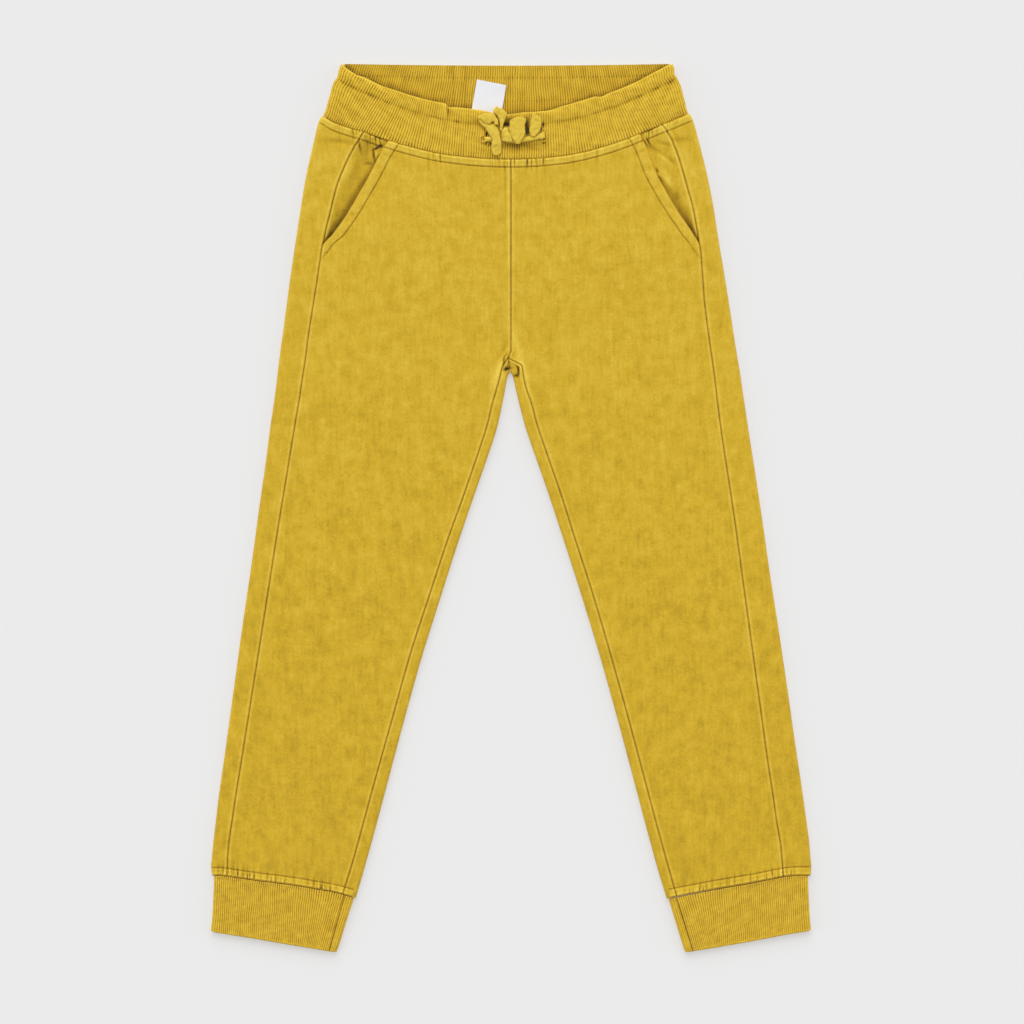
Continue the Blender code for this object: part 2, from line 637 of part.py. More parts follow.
def build_waistband():
    waist_left = (LEFT_HIP[-1].outer_x, LEFT_HIP[-1].outer_y)
    waist_right = (RIGHT_HIP[-1].outer_x, RIGHT_HIP[-1].outer_y)
    seam_middle = (0.0, LEFT_HIP[-1].front_y)

    def face(level, seam, top):
        """Plan points across one face of the band, a share of its width up."""
        def at(share):
            x, y = mix(band_edge(share, waist_left, waist_right, seam),
                       band_edge(share, BAND_TOP_LEFT, BAND_TOP_RIGHT, top), level)
            return x, y + SEAM_GAP / 2 * (1 - level)
        return at

    def front_at(level):
        return face(level, seam_middle, BAND_FRONT_TOP)

    def back_at(level):
        return face(level, (0.0, BAND_BACK_SEAM), (0.0, BAND_BACK_TOP))

    ribs = round((waist_right[0] - waist_left[0]) / RIB_PITCH)
    outer_stops, outer_places = ring_stops(True, False, ribs, 12)
    inner_stops, inner_places = ring_stops(False, True, ribs, 12)
    outside = [
        tube_ring(outer_stops, front_at(level), back_at(level), BAND_HEIGHT, drop, 0.0,
                  RIB_DEPTH)
        for level, drop in BAND_PROFILE]
    inside = [
        tube_ring(inner_stops, front_at(level), back_at(level), BAND_HEIGHT, 0.0, RIB_CLOTH,
                  RIB_DEPTH)
        for level in (0.0, 1.0)]
    for ring in outside:
        flatten_floor(ring, outer_stops)
    return add_tube("waistband", outside, outer_places, inside, inner_places, RIB_MUSTARD)


def flatten_floor(ring, stops):
    """Lay the plain back stretch of an outer ring on the table."""
    for index, (stretch, _, _) in enumerate(stops):
        if stretch == 2:
            x, y, _ = ring[index]
            ring[index] = (x, y, 0.0)


def build_cuff(side):
    cuff = CUFFS[side]
    radius = CUFF_HEIGHT / 2
    corners = [cuff.seam_outer, cuff.seam_inner, cuff.end_outer, cuff.end_inner]
    seam_outer, seam_inner, end_outer, end_inner = corners
    if side == "right":
        seam_outer, seam_inner = seam_inner, seam_outer
        end_outer, end_inner = end_inner, end_outer

    def across(level):
        # level 0 is the free end and 1 the seam, so that rows rise with Y
        low = mix(end_outer, seam_outer, level)
        high = mix(end_inner, seam_inner, level)
        inset = radius / (high[0] - low[0])

        def at(share):
            x, y = mix(low, high, inset + (1 - 2 * inset) * share)
            return x, y - SEAM_GAP / 2 * level
        return at

    ribs = round((seam_inner[0] - seam_outer[0]) / RIB_PITCH)
    outer_stops, outer_places = ring_stops(True, False, ribs, 6)
    inner_stops, inner_places = ring_stops(False, False, ribs, 6)
    outside = []
    for level, drop in reversed(CUFF_PROFILE):
        line = across(1.0 - level)
        ring = tube_ring(outer_stops, line, line, CUFF_HEIGHT, drop, 0.0, RIB_DEPTH)
        flatten_floor(ring, outer_stops)
        outside.append(ring)
    inside = []
    for level in (0.0, 1.0):
        line = across(level)
        inside.append(tube_ring(
            inner_stops, line, line, CUFF_HEIGHT, 0.0, RIB_CLOTH, 0.0))
    return add_tube("cuff_" + side, outside, outer_places, inside, inner_places, RIB_MUSTARD)


# ---------------------------------------------------------------- drawstring and label

def grid_normals(grid):
    """A normal at each point of a grid of points, from its neighbours."""
    along = np.gradient(grid, axis=0)
    across = np.gradient(grid, axis=1)
    normal = np.cross(across, along)
    return normal / np.linalg.norm(normal, axis=2, keepdims=True)


def add_sheet(name, middle, thickness, colour):
    """A wall of even thickness about a grid of middle points."""
    offset = grid_normals(middle) * thickness / 2
    return add_wall(name, middle + offset, middle - offset, colour)


def build_tape(name):
    rows = []
    for cross in TAPES[name]:
        start = np.array([cross.ax, cross.ay, cross.z])
        end = np.array([cross.bx, cross.by, cross.z])
        rows.append([start + (end - start) * share for share in (0.0, 0.5, 1.0)])
    return add_sheet(name, np.array(rows), TAPE, MUSTARD)


def build_label():
    rows = []
    for share in (0.0, 0.5, 1.0):
        step = np.array(LABEL_TILT) * LABEL_LENGTH * share
        left, right = (np.array(corner) + step for corner in LABEL_TOP)
        rows.append([(*left, LABEL_HEIGHT), (*right, LABEL_HEIGHT)])
    return add_sheet("care_label", np.array(rows, float), LABEL_CLOTH, WHITE)


def main():
    clear_scene()
    for side in ("left", "right"):
        build_back(side)
        build_front(side)
        build_facing(side)
        build_cuff(side)
    build_waistband()
    for name in TAPES:
        build_tape(name)
    build_label()


main()
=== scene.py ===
"""The looks of a child's tracksuit bottoms, laid flat with the front up.

Sizes are in millimetres, in the same frame as the solids: X across the garment (left is
minus), Y from the cuffs up to the waist, Z up from the table. MM turns them into metres
when a mesh is made. The tables of the panels, band, cuffs and tapes are the solids' own.
"""

from collections import namedtuple
from math import cos, pi, radians, sin

import bpy
import numpy as np
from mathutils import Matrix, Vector
from mathutils.bvhtree import BVHTree


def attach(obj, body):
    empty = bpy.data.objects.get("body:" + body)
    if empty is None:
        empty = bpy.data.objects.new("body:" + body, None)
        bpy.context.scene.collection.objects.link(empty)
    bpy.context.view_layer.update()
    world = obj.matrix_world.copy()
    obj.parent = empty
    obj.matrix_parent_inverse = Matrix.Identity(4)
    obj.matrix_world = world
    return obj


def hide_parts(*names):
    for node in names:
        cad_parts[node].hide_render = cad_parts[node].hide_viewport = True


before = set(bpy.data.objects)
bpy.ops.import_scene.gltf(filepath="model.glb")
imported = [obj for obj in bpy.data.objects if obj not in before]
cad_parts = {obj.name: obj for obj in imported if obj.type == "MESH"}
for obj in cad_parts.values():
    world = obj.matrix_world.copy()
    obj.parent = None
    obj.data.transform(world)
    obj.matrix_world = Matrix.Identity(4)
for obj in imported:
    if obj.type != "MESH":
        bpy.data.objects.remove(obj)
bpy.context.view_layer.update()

MM = 0.001

# ---------------------------------------------------------------- the solids' own sizes

# Cloth
JERSEY = 1.7            # thickness of the sweatshirt cloth
RIB_CLOTH = 3.2         # the rib of band and cuffs, doubled
FACING_CLOTH = 1.2
TAPE = 1.0              # thickness of the drawstring tape
LABEL_CLOTH = 0.9
SEAM_LINE = 0.06        # the open line between two pieces that are sewn together

# Ribs of the knit, from one to the next
RIB_PITCH = 2.2
CUFF_RIB_PITCH = 1.95

# Waistband
BAND_HEIGHT = 8.4       # of the front's face over the table
BAND_PROFILE = (        # share of the band's width from seam to top edge, drop of the face
    (0.0, 0.7),
    (0.35, 0.0),
    (0.68, 0.5),        # trough of the drawstring channel
    (0.88, 0.1),
    (1.0, 1.2),
)
BAND_TOP_LEFT = (-143.5, 376.5)     # the top ends of the folds at its sides
BAND_TOP_RIGHT = (137.5, 376.5)
BAND_FRONT_TOP = (-3.0, 335.0)      # lowest point of the front's top edge
BAND_BACK_TOP = 375.0               # the same point's height on the back
BAND_BACK_SEAM = 328.5
BAND_WIDTH = 47.0           # of the rib from seam to top edge
CHANNEL = 0.73              # the drawstring channel's middle, as a share of the width

# How far the front's top edge strays above its smooth curve: place along X, height.
BAND_EDGE = (
    (-143.0, 1.4),
    (-136.5, -0.4),
    (-129.5, -1.1),
    (-124.0, 0.0),
    (-110.0, -0.2),
    (-99.5, 0.9),
    (-81.0, 1.8),
    (-62.0, 2.6),
    (-55.8, 2.9),
    (-53.6, 0.3),
    (-48.0, 1.4),
    (-34.0, 2.3),
    (-24.5, 1.9),
    (-10.0, 0.0),
    (-3.0, -0.4),
    (10.0, 0.8),
    (32.0, 0.3),
    (43.5, 1.9),
    (62.0, 3.0),
    (70.0, 3.3),
    (77.0, 1.2),
    (84.5, 2.0),
    (107.0, 2.0),
    (116.0, 2.6),
    (131.0, 2.6),
    (137.0, 1.4),
)

# The same for the seam between the band and the front.
WAIST_SEAM = (
    (-161.0, 3.0),
    (-150.0, 1.2),
    (-137.0, 1.7),
    (-124.0, 2.4),
    (-111.0, 1.9),
    (-86.0, 0.9),
    (-60.0, 0.0),
    (45.0, 0.0),
    (80.0, 1.6),
    (105.0, 3.5),
    (118.0, 4.8),
    (131.0, 5.1),
    (153.0, 5.0),
)

# How far the folds at its sides stray outwards: share of the band's width, distance.
BAND_SIDES = {
    "left": ((0.0, -2.0), (0.1, -2.0), (0.21, -1.2), (0.3, -0.7), (0.4, -0.2), (0.53, 0.9),
             (0.66, 1.5), (0.77, 0.3), (0.9, 1.1), (1.0, 1.2)),
    "right": ((0.0, -2.6), (0.11, -2.4), (0.23, -1.4), (0.36, -0.9), (0.47, -0.1), (0.6, 0.4),
              (0.72, 0.1), (0.81, -1.3), (0.92, 0.1), (1.0, 0.3)),
}
BACK_RAISE = 1.4        # how far the back's top edge strays above the solid's

# How far a rib's top end leans to the right of where a straight rib's would be: place
# across the flat band, as a share from its left fold, distance.
RIB_LEAN = (
    (0.0, 1.0),
    (0.06, 5.0),
    (0.12, 7.6),
    (0.18, 4.5),
    (0.25, -0.5),
    (0.38, -2.5),
    (0.50, 0.0),
    (0.64, 2.0),
    (0.72, 0.0),
    (0.82, -3.0),
    (0.88, -6.5),
    (0.94, -4.5),
    (1.0, -1.0),
)
BACK_LEAN = ((0.0, 1.0), (0.2, 0.0), (0.8, 0.0), (1.0, -1.0))

# Cuffs
CUFF_HEIGHT = 6.8
CUFF_DEPTH = 48.0
CUFF_LEAN = ((0.0, 0.0), (0.2, -1.5), (0.5, -5.5), (0.7, -6.0), (0.9, 0.0), (1.0, 0.0))
Cuff = namedtuple("Cuff", "seam_outer seam_inner end_outer end_inner")
CUFFS = {
    "left": Cuff((-252.5, -314.0), (-133.5, -332.3), (-254.5, -360.5), (-148.0, -376.5)),
    "right": Cuff((252.5, -314.0), (134.0, -332.3), (254.5, -360.5), (148.0, -376.5)),
}
CUFF_JOINS = {              # top and bottom of the join in the rib beside the inseam
    "left": ((-141.5, -329.0), (-154.2, -375.0)),
    "right": ((139.8, -329.6), (154.1, -374.3)),
}
HEM_SEAM = {                # how far the cuff seam strays upwards: place along X, distance
    "left": ((-253.0, 0.9), (-245.0, 2.3), (-237.0, 2.3), (-213.0, 2.6), (-183.0, 3.4),
             (-167.0, 3.1), (-152.0, 2.8), (-142.5, 2.0), (-132.0, 0.3)),
    "right": ((132.0, -0.4), (147.5, 0.4), (175.0, 1.5), (203.0, 2.0), (234.0, 3.3),
              (246.0, 2.2), (253.0, 0.9)),
}
CUFF_END = {                # the same for the cuffs' bottom edges
    "left": ((-254.5, 0.2), (-246.0, 0.0), (-216.0, -0.3), (-193.0, -0.9), (-170.0, -1.2),
             (-148.0, -1.6)),
    "right": ((147.0, -2.0), (155.0, -1.4), (170.0, -1.3), (185.0, -0.9), (200.0, -0.6),
              (210.0, -0.2), (224.0, 0.3), (232.0, 0.7), (254.5, 1.0)),
}

# Sections of a leg from the hem to the crotch: the outer fold, how far the outseam lies
# inside it, the inner fold, the inseam, the height of the top face, and how far the
# inner fold has turned from facing the other leg (0) to facing the hem (1).
Leg = namedtuple(
    "Leg", "outer_x outer_y outseam inner_x inner_y inseam_x inseam_y height turn")
LEFT_LEG = (
    Leg(-253.5, -313.5, 12.0, -132.0, -332.0, -143.0, -330.5, 6.2, 0.0),
    Leg(-253.0, -290.5, 12.5, -125.5, -309.5, -136.5, -308.0, 5.4, 0.0),
    Leg(-250.0, -256.5, 14.0, -116.5, -277.0, -127.5, -275.5, 5.0, 0.0),
    Leg(-243.0, -205.5, 15.0, -103.5, -228.0, -114.0, -226.0, 4.8, 0.0),
    Leg(-236.0, -154.5, 16.0, -90.0, -177.5, -100.0, -176.0, 4.8, 0.0),
    Leg(-229.0, -103.5, 17.0, -76.0, -127.5, -86.0, -126.0, 4.8, 0.0),
    Leg(-221.5, -52.5, 17.5, -60.5, -78.0, -70.0, -76.5, 4.8, 0.0),
    Leg(-214.5, -1.5, 18.5, -44.5, -28.0, -53.5, -26.5, 4.8, 0.0),
    Leg(-208.5, 41.0, 19.5, -30.5, 13.0, -39.0, 14.0, 4.9, 0.0),
    Leg(-204.0, 75.0, 20.5, -19.0, 46.0, -27.5, 47.5, 5.0, 0.0),
    Leg(-200.5, 98.5, 21.0, -11.5, 69.5, -20.0, 71.0, 5.1, 0.0),
    Leg(-198.5, 115.5, 21.5, -7.8, 86.5, -16.0, 88.0, 5.2, 0.05),
    Leg(-196.3, 133.5, 22.0, -4.8, 102.0, -11.5, 103.0, 5.2, 0.3),
    Leg(-195.6, 138.5, 22.0, -3.2, 110.5, -9.0, 112.5, 5.2, 0.6),
    Leg(-195.3, 141.0, 22.0, -2.0, 114.0, -7.0, 120.0, 5.2, 0.85),
    Leg(-195.0, 143.0, 22.0, -0.9, 115.5, -2.4, 127.5, 5.2, 1.0),
)
RIGHT_LEG = (
    Leg(253.5, -313.5, 22.0, 132.5, -332.0, 141.0, -330.5, 6.2, 0.0),
    Leg(253.0, -290.5, 23.0, 125.5, -309.5, 134.5, -308.0, 5.4, 0.0),
    Leg(249.0, -256.5, 24.0, 116.5, -277.0, 125.5, -275.5, 5.0, 0.0),
    Leg(241.5, -205.5, 24.0, 103.5, -228.0, 112.5, -226.5, 4.8, 0.0),
    Leg(234.5, -154.5, 24.0, 90.0, -177.5, 99.0, -176.0, 4.8, 0.0),
    Leg(227.0, -103.5, 23.5, 76.0, -127.5, 85.0, -126.0, 4.8, 0.0),
    Leg(219.0, -52.5, 22.5, 61.0, -78.0, 70.5, -76.5, 4.8, 0.0),
    Leg(211.5, -1.5, 22.0, 45.0, -28.0, 54.5, -26.5, 4.8, 0.0),
    Leg(205.0, 41.0, 22.0, 31.5, 13.0, 41.5, 14.5, 4.9, 0.0),
    Leg(199.5, 75.0, 21.5, 20.0, 46.0, 30.0, 47.5, 5.0, 0.0),
    Leg(196.0, 98.5, 21.0, 12.0, 69.5, 22.0, 71.5, 5.1, 0.0),
    Leg(193.5, 115.5, 20.5, 7.5, 86.5, 17.5, 88.5, 5.2, 0.05),
    Leg(190.5, 133.5, 20.0, 3.8, 102.0, 12.5, 103.0, 5.2, 0.3),
    Leg(189.7, 138.5, 20.0, 1.9, 110.5, 10.5, 111.5, 5.2, 0.6),
    Leg(189.3, 141.0, 20.0, 0.5, 114.0, 9.0, 121.0, 5.2, 0.85),
    Leg(189.0, 143.0, 20.0, -0.5, 115.5, -2.0, 127.5, 5.2, 1.0),
)

# Sections of the hips from the crotch to the waist seam, on one side: the outer fold, how
# far the outseam and the front panel's edge lie inside it (they part at the pocket), the
# heights of the centre front and centre back, the power of the section's curve across the
# front (1 is straight), and the height of the top face.
Hip = namedtuple(
    "Hip", "outer_x outer_y outseam front_edge front_y back_y curve height")
LEFT_HIP = (
    Hip(-195.0, 143.0, 22.0, 22.0, 127.5, 118.1, 1.00, 5.2),
    Hip(-194.0, 149.5, 22.0, 22.0, 134.0, 125.0, 1.00, 5.2),
    Hip(-191.0, 172.5, 22.5, 22.5, 158.0, 148.0, 1.05, 5.4),
    Hip(-187.5, 198.0, 23.0, 23.0, 180.0, 175.0, 1.15, 5.8),
    Hip(-183.5, 225.0, 23.0, 23.0, 205.0, 205.0, 1.30, 6.2),
    Hip(-181.5, 238.0, 23.5, 30.0, 216.0, 218.5, 1.40, 6.3),
    Hip(-178.5, 257.5, 25.0, 39.0, 233.0, 239.5, 1.50, 6.4),
    Hip(-175.0, 279.0, 26.5, 46.0, 251.0, 265.0, 1.65, 6.5),
    Hip(-171.0, 297.5, 29.0, 51.0, 268.0, 289.0, 1.80, 6.7),
    Hip(-167.0, 313.0, 32.0, 54.0, 282.0, 307.5, 1.90, 7.0),
    Hip(-164.0, 324.5, 35.0, 56.0, 290.0, 321.5, 1.98, 7.3),
    Hip(-161.5, 331.0, 36.5, 57.5, 296.5, 328.0, 2.00, 7.6),
)
RIGHT_HIP = (
    Hip(189.0, 143.0, 20.0, 20.0, 127.5, 118.1, 1.00, 5.2),
    Hip(188.0, 149.5, 20.0, 20.0, 134.0, 125.0, 1.00, 5.2),
    Hip(184.5, 172.5, 19.5, 19.5, 158.0, 148.0, 1.05, 5.4),
    Hip(180.5, 198.0, 17.5, 17.5, 180.0, 175.0, 1.15, 5.8),
    Hip(176.0, 225.0, 15.5, 15.5, 205.0, 205.0, 1.30, 6.2),
    Hip(174.0, 238.0, 15.5, 20.0, 216.0, 218.5, 1.40, 6.3),
    Hip(171.0, 257.5, 16.0, 28.5, 233.0, 239.5, 1.50, 6.4),
    Hip(167.0, 279.0, 17.5, 35.5, 251.0, 265.0, 1.65, 6.5),
    Hip(163.0, 297.5, 18.5, 40.0, 268.0, 289.0, 1.80, 6.7),
    Hip(159.0, 313.0, 20.5, 42.0, 282.0, 307.5, 1.90, 7.0),
    Hip(155.5, 324.5, 23.0, 43.0, 290.0, 321.5, 1.98, 7.3),
    Hip(153.0, 331.0, 25.0, 44.0, 296.5, 328.0, 2.00, 7.6),
)
PANELS = {"left": (LEFT_LEG, LEFT_HIP), "right": (RIGHT_LEG, RIGHT_HIP)}
CENTRE_LINE = 0.0       # of the two sides' edges at the centre seams
POCKET_FOOT = 4         # the hip section where the pocket's opening begins

# How far a leg's outer fold strays outwards: row, distance.
OUTER_STRAY = {
    "left": ((-313.5, 0.5), (-309.5, 1.4), (-304.5, 1.85), (-299.5, 1.4), (-291.0, 0.85),
             (-270.0, 0.2), (-250.0, 0.0), (325.0, 0.0), (328.5, -0.3), (331.0, -2.0)),
    "right": ((-313.5, 1.3), (-309.5, 1.8), (-304.5, 2.1), (-299.5, 1.7), (-291.0, 1.25),
              (-270.0, 1.0), (-223.0, 1.1), (-155.0, 0.8), (-87.0, 0.7), (-19.0, 1.0),
              (50.0, 1.1), (83.0, 1.3), (185.0, 1.2), (253.0, 1.0), (287.0, 0.7),
              (305.0, 0.1), (321.0, -0.5), (328.5, -0.8), (331.0, -2.6)),
}

# Relief of the front panels
HEM_RAISE = 0.5         # how far the turned hem along a pocket's opening stands up
TONE_RISE_PER_MM = 0.0004           # how much lighter the cloth's tone is set for each millimetre up it

# The largest soft folds of the fronts: middle, heading from +X in degrees, half length,
# half width and height.
Fold = namedtuple("Fold", "x y heading reach spread height")
FOLDS = (
    Fold(-26.0, 112.0, 68.0, 34.0, 7.0, 0.6),
    Fold(22.0, 106.0, 110.0, 30.0, 7.0, 0.6),
    Fold(-14.0, 150.0, 60.0, 22.0, 6.0, -0.4),
    Fold(-112.0, 240.0, 40.0, 45.0, 14.0, 0.4),
    Fold(98.0, 250.0, 140.0, 40.0, 14.0, 0.4),
    Fold(-150.0, 40.0, 80.0, 60.0, 16.0, -0.4),
    Fold(140.0, 0.0, 105.0, 70.0, 18.0, -0.4),
    Fold(-170.0, -150.0, 15.0, 40.0, 15.0, 0.4),
    Fold(165.0, -190.0, 160.0, 45.0, 15.0, 0.4),
)

# Pocket facings
FACING_UNDERLAP = 12.0  # how far a facing runs on under the front panel
FACING_DROP = 2.0       # how far it sinks to lie under the panel

# Drawstring: for each stretch, cross lines of the flat tape from one end to the other,
# as its two edge points and the height of the tape's middle.
LEVEL_1 = 9.2
LEVEL_2 = 10.5
LEVEL_3 = 11.9
Cross = namedtuple("Cross", "ax ay bx by z")
TAPES = {
    "tie_left_strand": (
        Cross(-23.6, 315.0, -23.6, 311.1, LEVEL_1),
        Cross(-20.5, 315.0, -20.5, 311.1, LEVEL_1),
        Cross(-16.4, 315.5, -16.4, 310.3, LEVEL_1),
        Cross(-9.0, 316.0, -9.0, 310.0, LEVEL_1),
    ),
    "tie_right_strand": (
        Cross(28.4, 320.1, 28.9, 313.4, LEVEL_1),
        Cross(22.7, 317.6, 22.7, 312.7, LEVEL_1),
        Cross(16.5, 316.0, 16.5, 311.4, LEVEL_1),
        Cross(9.8, 315.0, 9.8, 310.4, LEVEL_1),
        Cross(3.1, 315.5, 3.1, 309.6, LEVEL_1),
        Cross(-3.0, 316.0, -3.0, 310.1, LEVEL_1),
        Cross(-7.2, 316.5, -7.2, 311.1, LEVEL_1),
    ),
    "tie_left_loop": (
        Cross(-11.0, 325.3, -13.9, 325.3, LEVEL_3),
        Cross(-11.3, 328.9, -14.3, 328.1, LEVEL_3),
        Cross(-13.1, 332.0, -16.4, 327.6, LEVEL_3),
        Cross(-15.9, 335.0, -18.5, 325.8, LEVEL_3),
        Cross(-21.6, 335.1, -22.1, 326.3, LEVEL_3),
        Cross(-25.6, 333.5, -25.4, 329.4, LEVEL_3 - 0.2),
        Cross(-28.0, 332.2, -27.0, 329.2, 0.5 * (LEVEL_2 + LEVEL_3)),
        Cross(-25.6, 331.5, -26.2, 326.8, LEVEL_2 + 0.1),
        Cross(-18.5, 328.4, -22.1, 322.2, LEVEL_2),
        Cross(-12.3, 324.3, -18.5, 316.8, LEVEL_2),
        Cross(-9.0, 315.0, -15.9, 312.2, LEVEL_2),
        Cross(-8.2, 309.6, -16.6, 308.9, LEVEL_2),
        Cross(-7.9, 305.6, -17.1, 305.2, LEVEL_1 + 0.4),
        Cross(-8.2, 302.1, -15.9, 301.3, LEVEL_1 + 0.1),
        Cross(-10.3, 299.8, -13.9, 299.5, LEVEL_1),
    ),
    "tie_up_tail": (
        Cross(-12.8, 341.0, -6.5, 338.0, LEVEL_2),
        Cross(-15.2, 337.0, -3.5, 335.1, LEVEL_2),
        Cross(-11.8, 333.0, -4.1, 332.5, LEVEL_2),
        Cross(-9.9, 328.4, -5.6, 328.4, LEVEL_2),
        Cross(-9.0, 323.7, -7.2, 323.7, LEVEL_2),
        Cross(-8.7, 320.6, -7.9, 320.6, LEVEL_2),
    ),
    "tie_right_loop": (
        Cross(-7.6, 320.1, -7.6, 311.1, LEVEL_2),
        Cross(-5.6, 323.2, -5.1, 310.6, LEVEL_2),
        Cross(-2.5, 323.7, -1.5, 310.3, LEVEL_2),
        Cross(-0.7, 319.1, 1.6, 309.8, LEVEL_2),
    ),
    "tie_middle_leaf": (
        Cross(6.2, 331.9, 8.6, 331.7, LEVEL_3),
        Cross(-0.7, 328.9, 12.9, 329.7, LEVEL_3),
        Cross(-1.0, 324.3, 11.6, 324.3, LEVEL_3),
        Cross(-1.5, 321.2, 12.0, 319.6, LEVEL_3),
        Cross(-0.2, 317.1, 11.1, 315.5, LEVEL_3),
        Cross(1.6, 312.9, 9.6, 312.4, LEVEL_3),
        Cross(4.2, 309.1, 7.3, 309.1, LEVEL_3),
    ),
    "tie_right_tail": (
        Cross(18.1, 334.6, 22.2, 333.5, LEVEL_2),
        Cross(17.1, 329.9, 25.6, 330.4, LEVEL_2),
        Cross(16.3, 325.3, 25.7, 326.3, LEVEL_2),
        Cross(15.6, 320.7, 24.8, 321.2, LEVEL_2),
        Cross(16.3, 316.8, 22.2, 317.3, LEVEL_2),
        Cross(18.1, 315.4, 20.1, 315.5, LEVEL_2),
    ),
}

# Creases of the tapes, as the soft folds, which are also painted into the tapes' tone at full
# height (painted shade where they sink, painted highlight where they rise), and the tapes that
# are frayed at the first end.
TAPE_FOLDS = {
    "tie_left_strand": (
        Fold(-23.2, 313.3, 0.0, 1.0, 1.0, -2.4),
        Fold(-18.0, 311.3, 20.0, 2.5, 0.9, -0.8),
        Fold(-20.0, 314.3, 10.0, 2.0, 0.8, 0.4),
    ),
    "tie_right_strand": (
        Fold(23.5, 317.0, 25.0, 4.5, 1.3, -1.0),
        Fold(12.5, 314.9, 8.0, 4.5, 0.9, -0.9),
        Fold(18.5, 312.9, 12.0, 10.0, 0.7, 0.5),
        Fold(3.0, 310.6, 0.0, 7.0, 0.8, 0.4),
    ),
    "tie_left_loop": (
        Fold(-24.1, 328.2, -50.0, 2.6, 0.5, -0.9),
        Fold(-20.4, 325.9, -15.0, 2.4, 0.5, -0.8),
        Fold(-16.3, 326.8, 60.0, 1.6, 1.2, -1.2),
        Fold(-17.5, 322.0, -40.0, 6.0, 1.0, 0.3),
        Fold(-12.5, 306.5, 80.0, 4.0, 0.6, -0.3),
        Fold(-14.6, 303.5, 90.0, 3.0, 0.8, 0.3),
    ),
    "tie_up_tail": (
        Fold(-10.5, 336.5, -75.0, 5.0, 0.7, -0.3),
        Fold(-7.0, 333.5, -85.0, 4.0, 0.7, 0.4),
        Fold(-9.4, 327.0, -80.0, 4.0, 0.5, -0.7),
    ),
    "tie_right_loop": (
        Fold(-1.9, 320.9, -68.0, 2.6, 0.6, -1.2),
        Fold(-2.8, 314.5, 90.0, 5.0, 0.8, 0.3),
        Fold(-6.6, 316.0, 80.0, 4.0, 0.6, -0.4),
    ),
    "tie_middle_leaf": (
        Fold(7.4, 314.2, 52.0, 4.5, 0.5, -1.4),
        Fold(8.5, 313.5, 52.0, 4.5, 0.6, 0.7),
        Fold(1.4, 327.6, 0.0, 0.9, 0.8, -0.8),
        Fold(4.8, 322.0, 85.0, 6.0, 0.8, 0.25),
        Fold(1.2, 318.5, 75.0, 5.0, 0.7, -0.3),
    ),
    "tie_right_tail": (
        Fold(19.0, 328.5, 85.0, 4.0, 0.6, -0.4),
        Fold(22.2, 324.5, -80.0, 5.0, 0.8, 0.3),
        Fold(18.6, 319.0, 60.0, 3.0, 0.6, -0.5),
    ),
}
FRAYED_TAPES = ("tie_up_tail", "tie_middle_leaf", "tie_right_tail")

# The stitched eyelets of the drawstring: points round each ring.
EYELETS = {
    "left": ((-26.4, 313.2), (-25.5, 315.6), (-23.4, 316.2), (-21.6, 315.2), (-21.2, 312.6),
             (-22.6, 310.6), (-25.0, 310.8)),
    "right": ((27.2, 322.6), (29.0, 319.6), (30.4, 316.2), (30.2, 313.4), (29.0, 311.6),
              (26.4, 311.2), (26.2, 313.6), (26.4, 317.4), (26.4, 320.6)),
}
EYELET_HEIGHT = 9.1
EYELET_THREAD = 0.9

# Care label, its bottom end tucked behind the front of the band
LABEL_HEIGHT = 4.3      # of its middle over the table
LABEL_TOP = ((-29.0, 364.5), (-4.0, 359.5))
LABEL_LENGTH = 39.0
LABEL_TILT = (-0.17, -0.985)        # direction from its top edge to its bottom edge

# ---------------------------------------------------------------- sizes of the finish

VIEW_WIDTH = 870.4          # of the photo's frame at the cloth
VIEW_CENTRE = (0.85, -3.4)
VIEW_HEIGHT = 6.0           # of the plane that the width is measured in
LENS = 135.0
SENSOR = 36.0

# Meshes
SHARP_ANGLE = 65.0          # between two faces, in degrees, for the edge to be sharp
LINING_STEP = 4             # cells of a front's outside along one side of its lining's
FACE_COLUMNS = 40           # of a tube's face that has no ribs
FOLD_COLUMNS = 8            # of its fold
SIGHT_HEIGHT = 40.0         # from where the stitches are let down on to the cloth

# Edges and seams
STRAY_REACH = 40.0          # how far from a seam its straying fades out
EDGE_ROLL = 0.75            # how far a panel's edge dips at a seam
EDGE_ROLL_WIDTH = 0.5
SEAM_RIDGE = 0.35           # the ridge that the seam allowance makes beside it
SEAM_RIDGE_AT = 1.7
SEAM_RIDGE_WIDTH = 0.9
STITCH_FURROW = 0.65
STITCH_FURROW_WIDTH = 0.5
STITCHED_STRIP = 0.3        # how far the strip between a seam and its topstitch stands up
WAIST_STITCH_AT = 7.0       # topstitch below the waist seam
HEM_STITCH_AT = {"left": 6.7, "right": 7.4}     # topstitch above the cuff seam
POCKET_STITCH_AT = 9.0

# Ribs
RIB_STEPS = (0.0, 0.2, 0.5, 0.8)    # places of a rib's columns of points, from its valley
BAND_FOLD_RIBS = 6          # round one fold of the band
CUFF_FOLD_RIBS = 5
RIB_VALLEY = 0.8            # depth of the valley between two ribs
VALLEY_WIDTH = 0.17         # in ribs
RIB_TONE = 0.68             # painted highlight and shade of the ribs: tone of a rib's top, and how much darker it is painted for each mm deeper
RIB_TONE_DEPTH = 1.55
INNER_STITCH = 3.4                  # from one chain stitch inside the back to the next
INNER_STITCH_AT = (37.4, 17.7)      # stitched rows inside the back, above its seam
BACK_JOIN = (-49.0, -38.5)          # the two lines of the join inside the back

# Drawstring
TAPE_CROWN = 0.8            # how far the tape's middle stands above its edges

# Thread
THREAD = 0.45               # diameter
STITCH = 2.4                # length of a stitch that shows
STITCH_PITCH = 3.0
STITCH_TONE = -0.7          # the thread is in shade down in its furrow
